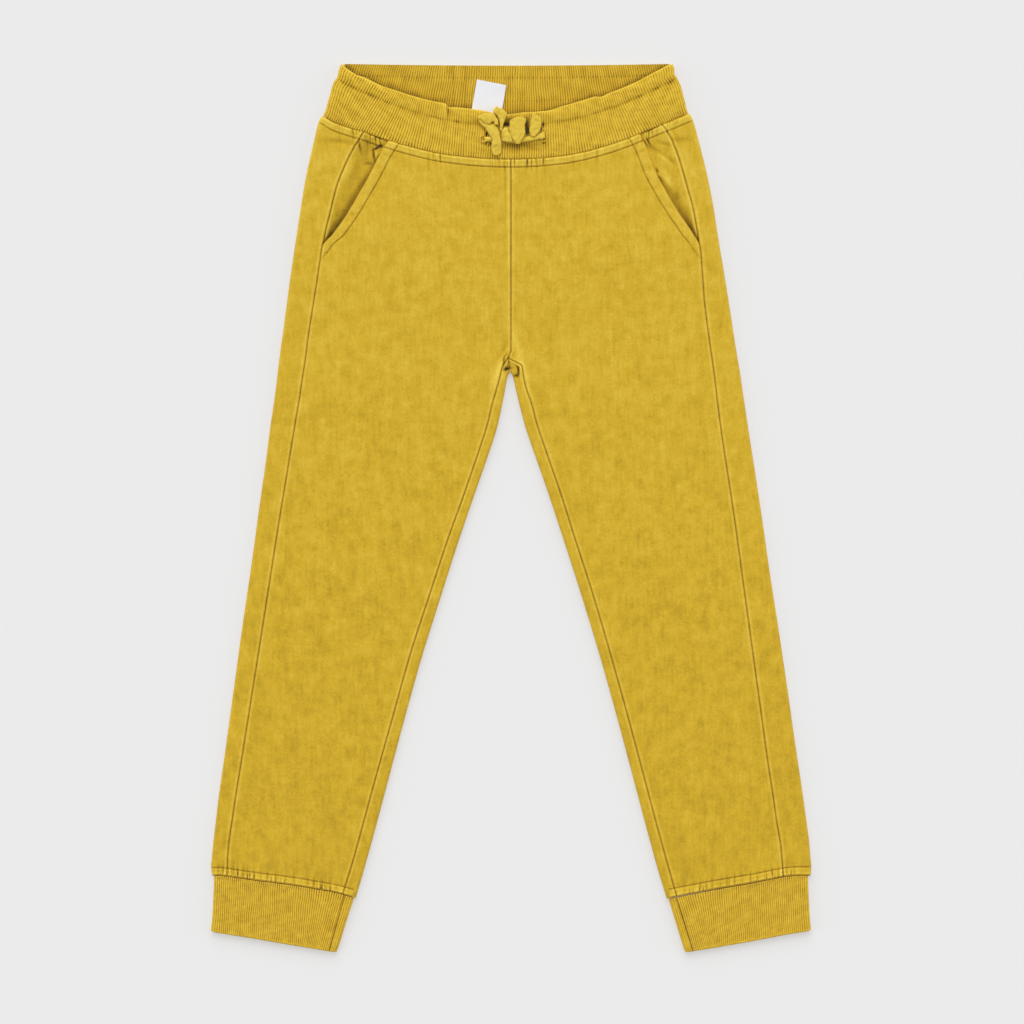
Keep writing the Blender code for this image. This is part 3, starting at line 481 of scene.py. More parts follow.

# Darker and lighter tones
INNER_SHADE = 0.19          # painted shade over the band's inside
CUFF_SHADE = 0.13           # of the cuffs
JOIN_SHADE = 0.12           # of the strip beside a cuff's join, on top of that
FACING_TONE_SHIFT = {"left": -0.2, "right": 0.12}     # how much lighter (+) or darker (-) the cloth inside each pocket is set

# Finishes of the knit: its colour, the same in furrows (dye and painted shade) and on ridges
# (wear and painted highlight), the size and strength of its blotches, the size and strength of
# its grain, the pitch of its stitches, the height of its bump and its roughness.
Finish = namedtuple(
    "Finish", "colour furrow ridge blotch_size mottle grain_size grain stitch bump roughness")
FINISHES = {
    "mustard jersey": Finish((0.662, 0.421, 0.018), (0.32, 0.19, 0.004), (0.88, 0.64, 0.08),
                             9.0, 0.95, 1.8, 0.75, 0.95, 0.10, 0.92),
    "mustard rib": Finish((0.67, 0.415, 0.014), (0.33, 0.19, 0.004), (0.86, 0.60, 0.05),
                          6.0, 0.7, 1.5, 0.4, 0.8, 0.08, 0.92),
    "mustard tape": Finish((0.77, 0.54, 0.05), (0.30, 0.18, 0.006), (0.92, 0.70, 0.13),
                           4.0, 0.6, 1.2, 0.6, 0.7, 0.08, 0.92),
    "white satin tape": Finish((0.86, 0.86, 0.88), (0.62, 0.62, 0.64), (0.92, 0.92, 0.93),
                               6.0, 0.1, 1.2, 0.1, 0.35, 0.02, 0.55),
}
CLOTH_SPECULAR = 0.2
CLOTH_SHEEN = 0.15
CLOTH_SHEEN_ROUGHNESS = 0.6

# Studio. A light is tilted from straight above towards a heading from +X; its angle is
# how wide it looks. All three are in degrees.
Light = namedtuple("Light", "name tilt heading angle strength")
LIGHTS = (
    Light("key", 48.0, 95.0, 60.0, 2.45),
    Light("left fill", 68.0, 185.0, 50.0, 0.9),
    Light("right fill", 68.0, 5.0, 50.0, 0.9),
)
WORLD_LIGHT = 0.24
FLOOR_REACH = 3.0           # metres from its middle to its edges
FLOOR_DROP = 0.0003         # metres that it lies below the cloth
PAPER_GREY = 0.38
PAPER_GLOW = 0.459

# Creases of the gathered cloth under the waist seam: place along X, how far the crease
# leans for each millimetre down, how far down it runs, its half width and its depth.
Pucker = namedtuple("Pucker", "at lean reach spread depth")
WAIST_PUCKERS = (
    Pucker(-148.0, 0.15, 9.0, 1.2, 0.7),
    Pucker(-143.5, 0.10, 7.0, 0.9, 0.5),
    Pucker(-134.5, 0.10, 10.0, 1.1, 0.8),
    Pucker(-130.5, 0.05, 7.0, 0.9, 0.9),
    Pucker(-127.0, 0.00, 8.0, 0.8, 0.8),
    Pucker(-123.0, 0.05, 12.0, 1.0, 1.0),
    Pucker(-119.5, 0.00, 7.0, 0.8, 0.7),
    Pucker(-115.5, 0.10, 8.0, 0.9, 0.9),
    Pucker(-111.0, 0.00, 7.0, 1.1, 0.5),
    Pucker(-103.0, 0.05, 6.0, 1.4, 0.3),
    Pucker(-94.0, -0.05, 7.0, 1.2, 0.5),
    Pucker(-86.5, 0.00, 8.0, 1.0, 0.4),
    Pucker(-78.5, 0.05, 6.0, 1.2, 0.3),
    Pucker(-70.5, 0.02, 15.0, 1.0, 1.0),
    Pucker(-66.0, 0.05, 7.0, 0.9, 0.7),
    Pucker(-60.0, 0.00, 8.0, 1.0, 0.8),
    Pucker(-55.5, 0.00, 6.0, 0.9, 0.4),
    Pucker(-45.0, 0.00, 6.0, 1.4, 0.3),
    Pucker(-36.5, 0.05, 7.0, 1.0, 0.4),
    Pucker(-28.0, 0.02, 6.0, 1.2, 0.4),
    Pucker(-17.5, 0.00, 8.0, 0.8, 0.8),
    Pucker(-13.5, 0.00, 10.0, 0.8, 1.0),
    Pucker(-9.5, 0.00, 9.0, 0.7, 1.1),
    Pucker(-5.0, 0.05, 13.0, 0.8, 0.9),
    Pucker(2.5, -0.05, 7.0, 0.9, 0.6),
    Pucker(8.5, 0.00, 6.0, 1.0, 0.4),
    Pucker(13.5, -0.05, 11.0, 0.8, 1.2),
    Pucker(17.5, 0.00, 8.0, 0.7, 0.8),
    Pucker(22.0, 0.00, 11.0, 0.8, 0.9),
    Pucker(27.5, 0.10, 8.0, 0.9, 1.0),
    Pucker(35.0, 0.00, 6.0, 1.2, 0.4),
    Pucker(43.5, 0.05, 6.0, 1.3, 0.3),
    Pucker(53.0, 0.00, 7.0, 1.1, 0.5),
    Pucker(62.5, -0.05, 7.0, 1.0, 0.5),
    Pucker(73.5, -0.02, 13.0, 1.0, 0.9),
    Pucker(80.5, 0.00, 6.0, 1.1, 0.4),
    Pucker(90.0, -0.05, 7.0, 1.2, 0.4),
    Pucker(99.5, -0.05, 7.0, 1.0, 0.5),
    Pucker(107.5, -0.10, 8.0, 0.9, 0.8),
    Pucker(112.5, -0.10, 8.0, 0.8, 0.9),
    Pucker(117.5, -0.10, 9.0, 0.8, 0.9),
    Pucker(124.5, -0.10, 7.0, 1.1, 0.5),
    Pucker(133.5, -0.10, 8.0, 1.0, 0.6),
    Pucker(141.0, -0.15, 9.0, 1.2, 0.7),
)

# The same over the cuff seam; the reach runs up the leg.
HEM_PUCKERS = {
    "left": (
        Pucker(-249.0, 0.05, 9.0, 1.0, 0.6),
        Pucker(-244.5, 0.05, 10.0, 0.9, 0.9),
        Pucker(-240.5, 0.00, 9.0, 0.8, 1.0),
        Pucker(-236.5, 0.05, 12.0, 0.9, 1.1),
        Pucker(-232.5, 0.00, 10.0, 0.8, 1.0),
        Pucker(-228.5, 0.05, 9.0, 0.8, 0.9),
        Pucker(-224.0, 0.00, 8.0, 0.9, 0.8),
        Pucker(-218.5, 0.00, 9.0, 1.0, 0.6),
        Pucker(-213.0, 0.05, 10.0, 0.9, 0.8),
        Pucker(-206.5, 0.00, 8.0, 1.0, 0.6),
        Pucker(-199.5, 0.00, 9.0, 1.0, 0.8),
        Pucker(-192.0, 0.05, 8.0, 1.1, 0.5),
        Pucker(-184.5, 0.00, 11.0, 0.9, 0.9),
        Pucker(-179.0, 0.00, 8.0, 0.9, 0.7),
        Pucker(-172.5, -0.05, 9.0, 0.9, 0.9),
        Pucker(-167.0, 0.00, 8.0, 0.9, 0.7),
        Pucker(-160.5, 0.00, 10.0, 0.9, 0.9),
        Pucker(-154.0, -0.05, 8.0, 0.9, 0.7),
        Pucker(-148.0, 0.00, 9.0, 0.9, 0.8),
        Pucker(-141.5, -0.05, 8.0, 0.9, 0.6),
    ),
    "right": (
        Pucker(140.5, 0.05, 8.0, 0.9, 0.6),
        Pucker(147.0, 0.05, 9.0, 0.9, 0.8),
        Pucker(153.5, 0.00, 8.0, 0.9, 0.6),
        Pucker(160.5, 0.05, 10.0, 0.9, 0.9),
        Pucker(166.0, 0.00, 8.0, 0.8, 0.8),
        Pucker(171.5, 0.00, 9.0, 0.9, 0.9),
        Pucker(178.0, 0.05, 8.0, 0.9, 0.7),
        Pucker(184.0, 0.00, 11.0, 0.9, 1.0),
        Pucker(190.0, 0.00, 9.0, 0.8, 0.8),
        Pucker(196.5, -0.05, 8.0, 1.0, 0.6),
        Pucker(203.5, 0.00, 9.0, 0.9, 0.9),
        Pucker(209.5, 0.00, 8.0, 0.9, 0.7),
        Pucker(216.0, -0.05, 10.0, 0.9, 0.9),
        Pucker(222.0, 0.00, 9.0, 0.8, 0.9),
        Pucker(228.0, -0.05, 9.0, 0.9, 0.8),
        Pucker(234.5, 0.00, 8.0, 1.0, 0.6),
        Pucker(241.0, -0.05, 9.0, 1.0, 0.7),
        Pucker(247.5, -0.05, 8.0, 1.0, 0.5),
    ),
}

# Stretches along X where the gathers are fine and close together.
Gather = namedtuple("Gather", "start end depth")
GATHER_PITCH = 3.0
WAIST_GATHERS = (
    Gather(-150.0, -140.0, 0.4),
    Gather(-135.0, -109.0, 0.6),
    Gather(-96.0, -90.0, 0.2),
    Gather(-70.0, -56.0, 0.55),
    Gather(-18.0, 29.0, 0.65),
    Gather(58.0, 66.0, 0.25),
    Gather(106.0, 121.0, 0.55),
    Gather(130.0, 142.0, 0.3),
)
HEM_GATHERS = {
    "left": (
        Gather(-246.0, -216.0, 0.6),
        Gather(-209.0, -192.0, 0.5),
        Gather(-180.0, -176.0, 0.5),
        Gather(-169.0, -150.0, 0.6),
    ),
    "right": (
        Gather(150.0, 172.0, 0.55),
        Gather(181.0, 195.0, 0.5),
        Gather(202.0, 208.0, 0.4),
        Gather(214.0, 240.0, 0.6),
    ),
}

# Creases across the turned hem of a pocket's opening: the row that each lies on (by the
# outer fold's Y), how far in it runs, its half width and its depth.
HemCrease = namedtuple("HemCrease", "row reach spread depth")
POCKET_CREASES = {
    "left": (
        HemCrease(252.0, 7.0, 1.4, 0.35),
        HemCrease(258.5, 9.0, 1.6, 0.5),
        HemCrease(279.0, 8.0, 2.0, 0.4),
        HemCrease(296.0, 7.0, 2.0, 0.25),
        HemCrease(305.5, 6.0, 1.6, 0.3),
        HemCrease(317.0, 9.0, 1.4, 0.4),
    ),
    "right": (
        HemCrease(246.0, 7.0, 1.4, 0.3),
        HemCrease(263.0, 8.0, 2.0, 0.35),
        HemCrease(284.0, 8.0, 1.8, 0.35),
        HemCrease(301.0, 7.0, 1.6, 0.4),
        HemCrease(316.0, 8.0, 1.4, 0.4),
    ),
}

# Tucks and hollows round the crotch, soft creases of the side panels and faint pleats of the
# fronts, as the soft folds; they are also painted into the cloth's tone, as painted shade where
# they sink and painted highlight where they rise.
CREASES = (
    Fold(-3.2, 117.9, 10.0, 2.8, 2.0, -2.2),
    Fold(-6.0, 124.0, 88.0, 3.0, 0.8, -1.5),
    Fold(3.7, 112.0, 0.0, 2.4, 1.7, -2.0),
    Fold(6.3, 117.8, -80.0, 3.8, 0.9, -1.6),
    Fold(-2.0, 124.5, -78.0, 3.5, 0.5, -0.8),
    Fold(-9.5, 118.0, 70.0, 18.0, 3.0, 0.7),
    Fold(9.5, 120.0, 104.0, 18.0, 3.0, 0.7),
    Fold(-5.0, 136.0, 62.0, 9.0, 2.2, -0.4),
    Fold(5.0, 140.0, 112.0, 9.0, 2.2, 0.3),
    Fold(-5.0, 277.0, 90.0, 14.0, 0.9, -0.45),
    Fold(-2.2, 252.0, 90.0, 60.0, 1.2, 0.3),
    Fold(-146.0, 311.0, -6.0, 13.0, 2.2, -0.5),
    Fold(-166.0, 290.0, 60.0, 12.0, 5.0, 0.3),
    Fold(142.0, 312.5, 0.0, 14.0, 2.2, -0.5),
    Fold(150.0, 292.0, 110.0, 14.0, 4.0, 0.3),
)

# Deep shade in the tucks round the crotch, which only darkens the cloth.
SHADES = (
    Fold(-6.2, 124.6, 82.0, 3.4, 0.8, -1.7),
    Fold(-3.4, 118.2, 8.0, 3.0, 1.3, -2.0),
    Fold(-4.4, 130.0, 52.0, 3.4, 0.6, -1.1),
    Fold(6.3, 117.8, 88.0, 4.4, 0.8, -1.5),
    Fold(4.2, 112.6, 12.0, 2.4, 1.1, -2.0),
    Fold(-2.3, 123.5, -78.0, 3.6, 0.5, -0.9),
)

# Creases of the cloth inside the pockets, also painted into its tone: painted shade where they
# sink, painted highlight where they rise.
FACING_FOLDS = {
    "left": (
        Fold(-128.8, 307.7, -76.0, 5.5, 0.8, -0.9),
        Fold(-116.4, 299.2, -80.0, 5.5, 0.9, -1.2),
        Fold(-113.9, 306.0, 27.0, 3.5, 0.8, -1.2),
        Fold(-110.6, 307.8, 0.0, 1.7, 1.3, -1.4),
        Fold(-113.0, 298.4, 62.0, 2.5, 0.6, -1.1),
        Fold(-114.8, 301.0, 70.0, 3.0, 0.8, 0.5),
        Fold(-121.0, 293.0, 0.0, 4.0, 1.6, -0.5),
        Fold(-140.0, 285.0, 60.0, 14.0, 3.0, 0.3),
    ),
    "right": (
        Fold(113.6, 311.5, -55.0, 4.0, 0.6, -1.2),
        Fold(116.5, 312.0, -58.0, 4.0, 0.6, -1.2),
        Fold(115.0, 310.5, -56.0, 3.0, 0.7, 0.4),
        Fold(119.5, 306.0, -35.0, 9.0, 2.6, -0.55),
        Fold(131.0, 309.5, -12.0, 7.0, 1.6, -0.4),
        Fold(128.0, 298.5, -36.0, 13.0, 1.5, 0.35),
        Fold(137.0, 294.5, -50.0, 6.0, 2.4, -0.35),
        Fold(124.2, 287.0, -60.0, 2.2, 1.0, -1.0),
        Fold(133.5, 279.0, -60.0, 9.0, 3.4, 0.2),
        Fold(141.0, 266.0, -75.0, 5.0, 2.2, -0.3),
    ),
}

# How the cloth inside a pocket falls away beside the opening: row, width of the hollow,
# and how deep it is and how dark its painted shade is.
Gape = namedtuple("Gape", "row width depth")
GAPES = {
    "left": (
        Gape(226.0, 0.8, 0.6),
        Gape(236.0, 4.5, 1.4),
        Gape(245.0, 7.5, 1.2),
        Gape(258.0, 8.0, 0.9),
        Gape(273.0, 7.0, 0.75),
        Gape(293.0, 5.5, 0.6),
        Gape(303.0, 3.5, 0.5),
        Gape(312.0, 1.5, 0.3),
        Gape(320.0, 0.5, 0.0),
    ),
    "right": (
        Gape(226.0, 0.8, 0.8),
        Gape(236.0, 3.5, 1.5),
        Gape(246.0, 6.5, 1.3),
        Gape(256.0, 10.0, 0.9),
        Gape(266.0, 11.5, 0.75),
        Gape(276.0, 9.0, 0.7),
        Gape(286.0, 5.5, 0.8),
        Gape(292.0, 2.6, 1.2),
        Gape(295.0, 1.2, 0.4),
        Gape(310.0, 0.5, 0.0),
    ),
}

# Hollows along the drawstring channel, darkened by painted shade: place along X, half length,
# depth.
Hollow = namedtuple("Hollow", "at reach depth")
CHANNEL_HOLLOWS = (
    Hollow(-143.0, 3.0, 0.5),
    Hollow(-134.0, 3.5, 0.6),
    Hollow(-121.0, 5.0, 0.8),
    Hollow(-106.0, 3.5, 0.6),
    Hollow(-93.0, 3.0, 0.3),
    Hollow(-82.0, 4.5, 0.4),
    Hollow(-64.0, 4.5, 0.7),
    Hollow(-46.0, 3.5, 0.9),
    Hollow(-35.5, 5.0, 0.4),
    Hollow(46.0, 4.5, 0.4),
    Hollow(56.0, 3.5, 0.5),
    Hollow(72.0, 4.0, 0.6),
    Hollow(80.0, 3.0, 0.6),
    Hollow(90.0, 4.0, 0.4),
    Hollow(100.0, 3.5, 0.5),
    Hollow(110.0, 4.0, 0.6),
    Hollow(124.0, 3.0, 1.0),
    Hollow(136.5, 3.0, 1.0),
)

# Hollows of the band behind the bow, its eyelets and the pleat at its top edge, as folds; their
# depths are also painted as shade, near black in the deepest.
BAND_FOLDS = (
    Fold(-55.9, 336.5, 90.0, 6.0, 0.7, 0.7),
    Fold(-53.6, 337.0, 90.0, 5.0, 0.8, -0.8),
    Fold(-3.6, 325.9, 0.0, 3.2, 1.6, -2.0),
    Fold(13.9, 320.4, 86.0, 3.4, 1.8, -2.0),
    Fold(13.3, 326.6, 82.0, 4.0, 1.8, -1.1),
    Fold(-20.7, 317.4, 70.0, 2.2, 1.0, -1.8),
    Fold(-17.2, 310.3, 75.0, 2.6, 0.8, -1.4),
    Fold(7.0, 308.3, 2.0, 17.0, 1.6, -0.5),
    Fold(7.0, 305.4, 0.0, 15.0, 3.0, -0.45),
    Fold(0.0, 329.6, 3.0, 10.0, 2.4, -0.8),
    Fold(27.2, 325.6, 90.0, 1.4, 0.9, -1.6),
    Fold(26.2, 321.4, 70.0, 1.8, 1.0, -1.6),
    Fold(27.4, 313.3, 5.0, 2.4, 0.8, -2.0),
    Fold(27.8, 310.0, 5.0, 1.4, 0.7, -0.9),
    Fold(-21.0, 309.6, 60.0, 1.6, 0.8, -1.2),
    Fold(-19.4, 307.6, 60.0, 1.2, 0.6, -0.8),
)


# ---------------------------------------------------------------- numbers

def through(knots, values, at):
    """A smooth curve through a table's rows that doesn't swing past them."""
    knots = np.asarray(knots, float)
    values = np.asarray(values, float)
    at = np.clip(np.asarray(at, float), knots[0], knots[-1])
    step = np.diff(knots)
    slope = np.diff(values) / step
    tangent = np.empty(len(knots))
    tangent[0], tangent[-1] = slope[0], slope[-1]
    near = 2 * step[1:] + step[:-1]
    far = step[1:] + 2 * step[:-1]
    same_way = slope[:-1] * slope[1:] > 0
    before = np.where(same_way, slope[:-1], 1.0)
    after = np.where(same_way, slope[1:], 1.0)
    tangent[1:-1] = np.where(same_way, (near + far) / (near / before + far / after), 0.0)
    piece = np.clip(np.searchsorted(knots, at, side="right") - 1, 0, len(step) - 1)
    share = (at - knots[piece]) / step[piece]
    rest = 1 - share
    return (values[piece] * (1 + 2 * share) * rest ** 2
            + values[piece + 1] * (3 - 2 * share) * share ** 2
            + step[piece] * (tangent[piece] * share * rest ** 2
                             - tangent[piece + 1] * share ** 2 * rest))


def spaced(*stretches, end):
    """Stops from the first stretch's start to the end; a stretch is (start, spacing)."""
    stops = []
    ends = [start for start, _ in stretches[1:]] + [end]
    for (start, spacing), finish in zip(stretches, ends):
        count = max(1, round(abs(finish - start) / spacing))
        stops.extend(np.linspace(start, finish, count + 1)[:-1])
    return np.array(stops + [end])


def bump(distance, width):
    return np.exp(-(distance / width) ** 2)


def ease(value, low, high):
    share = np.clip((value - low) / (high - low), 0.0, 1.0)
    return share * share * (3 - 2 * share)


def unit(vectors):
    return vectors / np.maximum(np.linalg.norm(vectors, axis=-1, keepdims=True), 1e-9)


def cloud(x, y, size, seed):
    """Smooth uneven values between -1 and 1 in plan, its patches about this size."""
    draws = np.random.default_rng(seed)
    waves = 14
    angle = draws.uniform(0, 2 * pi, waves)
    pitch = draws.uniform(0.7, 1.6, waves) * 2 * pi / (2 * size)
    phase = draws.uniform(0, 2 * pi, waves)
    total = np.zeros(np.broadcast(x, y).shape)
    for k in range(waves):
        total += np.sin(pitch[k] * (x * cos(angle[k]) + y * sin(angle[k])) + phase[k])
    return np.clip(total / (0.5 * waves) * 1.4, -1.0, 1.0)


# ---------------------------------------------------------------- meshes

def grid_faces(rows, columns):
    index = np.arange(rows * columns).reshape(rows, columns)
    corners = [index[:-1, :-1], index[:-1, 1:], index[1:, 1:], index[1:, :-1]]
    return np.stack(corners, axis=-1).reshape(-1, 4)


def add_piece(name, points, faces, material, nodes=(), tone=None):
    """One piece from its points in millimetres, riding on the garment's one body."""
    mesh = bpy.data.meshes.new(name)
    mesh.from_pydata((np.asarray(points) * MM).tolist(), [], faces)
    mesh.validate()
    mesh.shade_smooth()
    mesh.set_sharp_from_angle(angle=radians(SHARP_ANGLE))
    if tone is not None:
        attribute = mesh.attributes.new("tone", "FLOAT", "POINT")
        attribute.data.foreach_set("value", np.asarray(tone, np.float32))
    mesh.materials.append(material)
    piece = bpy.data.objects.new(name, mesh)
    bpy.context.collection.objects.link(piece)
    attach(piece, "root")
    if nodes:
        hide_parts(*nodes)
    return piece


def wall(outside, inside, tone=None, kept=None):
    """Points, faces and tones of a wall between two grids of points."""
    rows, columns = outside.shape[:2]
    faces = grid_faces(rows, columns)
    if kept is not None:
        faces = faces[kept.ravel()]
    used, faces = np.unique(faces, return_inverse=True)
    faces = faces.reshape(-1, 4)
    count = len(used)
    start = faces.ravel()
    end = np.roll(faces, -1, axis=1).ravel()
    rim = ~np.isin(start * count + end, end * count + start)
    start, end = start[rim], end[rim]
    rims = np.stack([end, start, start + count, end + count], axis=1)
    faces = np.concatenate([faces, faces[:, ::-1] + count, rims])
    points = np.concatenate([outside.reshape(-1, 3)[used], inside.reshape(-1, 3)[used]])
    if tone is None:
        tone = np.zeros((rows, columns))
    tones = np.concatenate([tone.ravel()[used], np.zeros(count)])
    return points, faces.tolist(), tones


def lined_wall(outside, thickness, tone, step):
    """The same with a coarse inside: one of its cells for step by step of the outside's."""
    rows, columns = outside.shape[:2]
    kept_rows = sorted({*range(0, rows, step), rows - 1})
    kept_columns = sorted({*range(0, columns, step), columns - 1})
    inside = outside[kept_rows][:, kept_columns] - np.array([0.0, 0.0, thickness])
    fine = np.arange(rows * columns).reshape(rows, columns)
    lining = rows * columns + np.arange(inside.shape[0] * inside.shape[1])
    lining = lining.reshape(inside.shape[:2])
    faces = grid_faces(rows, columns).tolist()
    faces += (grid_faces(*inside.shape[:2])[:, ::-1] + rows * columns).tolist()
    rims = (
        (fine[0], lining[0], kept_columns),
        (fine[:, -1], lining[:, -1], kept_rows),
        (fine[-1, ::-1], lining[-1, ::-1], [columns - 1 - k for k in kept_columns[::-1]]),
        (fine[::-1, 0], lining[::-1, 0], [rows - 1 - k for k in kept_rows[::-1]]),
    )
    for edge, under, stops in rims:
        for k, (first, last) in enumerate(zip(stops, stops[1:])):
            face = list(edge[first:last + 1][::-1]) + [under[k], under[k + 1]]
            faces.append([int(index) for index in face])
    points = np.concatenate([outside.reshape(-1, 3), inside.reshape(-1, 3)])
    tones = np.concatenate([tone.ravel(), np.zeros(inside.shape[0] * inside.shape[1])])
    return points, faces, tones


# ---------------------------------------------------------------- leg and hip panels

class Half:
    """The lines of one side of the bottoms, by rows from the hem to the waist.

    A row is named by the Y of its point on the outer fold.
    """

    def __init__(self, side):
        legs, hips = PANELS[side]
        hips = hips[1:]
        centre = [CENTRE_LINE] * len(hips)
        self.side = side
        self.crotch = legs[-1].outer_y
        self.pocket_foot = hips[POCKET_FOOT - 1].outer_y
        self.knots = [row.outer_y for row in legs + hips]
        self.columns = {
            "outer_x": [row.outer_x for row in legs + hips],
            "outseam": [row.outseam for row in legs + hips],
            "height": [row.height for row in legs + hips],
            "edge": [leg.outseam for leg in legs] + [hip.front_edge for hip in hips],
            "curve": [1.0] * len(legs) + [hip.curve for hip in hips],
            "end_x": [leg.inseam_x for leg in legs] + centre,
            "end_y": [leg.inseam_y for leg in legs] + [hip.front_y for hip in hips],
            "fold_x": [leg.inner_x for leg in legs] + centre,
            "fold_y": [leg.inner_y for leg in legs] + [hip.back_y for hip in hips],
            "turn": [leg.turn for leg in legs] + [1.0] * len(hips),
        }
        floor = [self.floor_end(leg) for leg in legs]
        floor += [(CENTRE_LINE, hip.back_y) for hip in hips]
        self.columns["floor_x"] = [x for x, _ in floor]
        self.columns["floor_y"] = [y for _, y in floor]

    @staticmethod
    def floor_end(leg):
        fold = np.array([leg.inner_x, leg.inner_y])
        level = unit(np.array([leg.outer_x, leg.outer_y]) - fold)
        return fold + leg.height / 2 * unit((1 - leg.turn) * level + leg.turn * np.array([0, 1]))

    def at(self, column, rows):
        value = through(self.knots, self.columns[column], rows)
        outward = stray(OUTER_STRAY[self.side], rows)
        if column == "outer_x":
            return value + np.sign(value) * outward
        if column in ("outseam", "edge"):
            return value + outward
        return value

    def span(self, rows):
        return np.abs(self.at("end_x", rows) - self.at("outer_x", rows))

    def on_top(self, rows, distance):
        """Plan points on the upper side, this far in from the outer fold."""
        share = distance / self.span(rows)
        outer_x, end_x, end_y = (self.at(c, rows) for c in ("outer_x", "end_x", "end_y"))
        x = outer_x + (end_x - outer_x) * share
        y = end_y + (rows - end_y) * np.clip(1 - share, 0.0, None) ** self.at("curve", rows)
        waist = self.knots[-1]
        return x, y + stray(WAIST_SEAM, x) * ease(rows, waist - STRAY_REACH, waist)

    def waist_line(self, x):
        """The waist seam's Y, and its length for each millimetre along X."""
        waist = self.knots[-1]
        outer, end, seam = (self.columns[c][-1] for c in ("outer_x", "end_x", "end_y"))
        share = (x - outer) / (end - outer)
        slope = 2 * (waist - seam) * (1 - share) / abs(end - outer)
        y = seam + (waist - seam) * (1 - share) ** 2 + stray(WAIST_SEAM, x)
        return y, np.sqrt(1 + slope ** 2)

    def hem_line(self, x):
        """The same for the cuff seam, before it is moved to where it strays."""
        hem = self.knots[0]
        outer, end, seam = (self.columns[c][0] for c in ("outer_x", "end_x", "end_y"))
        slope = (seam - hem) / (end - outer)
        return hem + slope * (x - outer), (1 + slope ** 2) ** 0.5

    def below_waist(self, x, y):
        """How far a point lies below the waist seam."""
        line, steepness = self.waist_line(x)
        return (line - y) / steepness

    def above_hem(self, x, y):
        """How far a point lies above the cuff seam."""
        line, steepness = self.hem_line(x)
        return (y - line) / steepness


def stray(table, at):
    """How far a line strays from the solid's, from a table of places and distances."""
    places, distances = zip(*table)
    return through(places, distances, at)


def lift_hem(half, grid):
    """Move a panel's points near the cuff seam to where it strays."""
    near = 1 - ease(half.above_hem(grid[..., 0], grid[..., 1]), 0, STRAY_REACH)
    grid[..., 1] += stray(HEM_SEAM[half.side], grid[..., 0]) * near
    return grid


def seam_profile(distance):
    """The height of a panel beside a seam: its edge dips and its allowance stands up."""
    return (SEAM_RIDGE * bump(distance - SEAM_RIDGE_AT, SEAM_RIDGE_WIDTH)
            - EDGE_ROLL * bump(distance, EDGE_ROLL_WIDTH))


def soft_folds(folds, x, y):
    lift = np.zeros(np.broadcast(x, y).shape)
    for fold in folds:
        angle = radians(fold.heading)
        along = (x - fold.x) * cos(angle) + (y - fold.y) * sin(angle)
        across = (y - fold.y) * cos(angle) - (x - fold.x) * sin(angle)
        lift += fold.height * bump(along, fold.reach) * bump(across, fold.spread)
    return lift


def pucker_lift(puckers, x, distance):
    """How far the creases at a seam sink the cloth at this distance from it."""
    lift = np.zeros(x.shape)
    for pucker in puckers:
        across = x - pucker.at - pucker.lean * distance
        along = ease(distance, 0.0, 2.0) * bump(distance, pucker.reach)
        lift -= pucker.depth * bump(across, pucker.spread) * along
    return lift


def fine_gathers(stretches, x, distance):
    """The fine close gathers at a seam: grooves with the cloth standing up between them."""
    place = x / GATHER_PITCH + 0.45 * cloud(x, 0.2 * distance, 5.0, 61)
    depth = np.zeros(x.shape)
    for some in stretches:
        depth += some.depth * ease(x, some.start - 2, some.start + 2) * (
            1 - ease(x, some.end - 2, some.end + 2))
    depth *= np.clip(0.9 + 0.8 * cloud(x, 0.3 * distance, 2.0, 62), 0.1, 2.0)
    off = np.abs(place - np.round(place))
    groove = 0.6 * ease(off, 0.15, 0.5) - 1.5 * bump(off, 0.14)
    return depth * groove * ease(distance, 0, 1) * bump(distance, 7.5)


def seam_lines(half, x, y):
    """The relief of the waist and cuff seams and of the topstitched strips beside them."""
    lift = np.zeros(x.shape)
    for distance, stitched in ((half.below_waist(x, y), WAIST_STITCH_AT),
                               (half.above_hem(x, y), HEM_STITCH_AT[half.side])):
        lift -= STITCH_FURROW * bump(distance - stitched, STITCH_FURROW_WIDTH)
        lift += STITCHED_STRIP * ease(distance, 0.8, 2.0) * (
            1 - ease(distance, stitched - 1.2, stitched - 0.3))
        lift += seam_profile(distance)
    return lift


def gathers(half, x, y):
    """The same with the creases of the cloth that is gathered into them."""
    below = half.below_waist(x, y)
    above = half.above_hem(x, y)
    lift = 0.8 * pucker_lift(WAIST_PUCKERS, x, below)
    lift += 0.8 * pucker_lift(HEM_PUCKERS[half.side], x, above)
    lift += fine_gathers(WAIST_GATHERS, x, below)
    lift += fine_gathers(HEM_GATHERS[half.side], x, above)
    return lift + seam_lines(half, x, y)


def lie(x, y):
    """The faint unevenness of cloth that lies loose."""
    return 0.16 * cloud(x, y, 38.0, 3) + 0.07 * cloud(x, y, 11.0, 8)


def tone_of(lift):
    """How light a ridge is painted (to 1), as wear and a painted highlight, and how dark a furrow
    (to -1), as dye and painted shade, or a hollow (to -2), as painted shade.
    """
    return np.clip(np.where(lift < 0, 0.95 * lift, 1.1 * lift), -2.0, 1.0)


FRONT_EDGE_STOPS = spaced((0.0, 0.25), (1.5, 0.6), (4.0, 1.0), (8.0, 0.4), (10.0, 1.0), end=12.0)
INNER_EDGE_STOPS = spaced((0.0, 0.25), (1.5, 0.6), (4.0, 1.2), end=9.0)
FRONT_MIDDLE = 128          # columns between the two


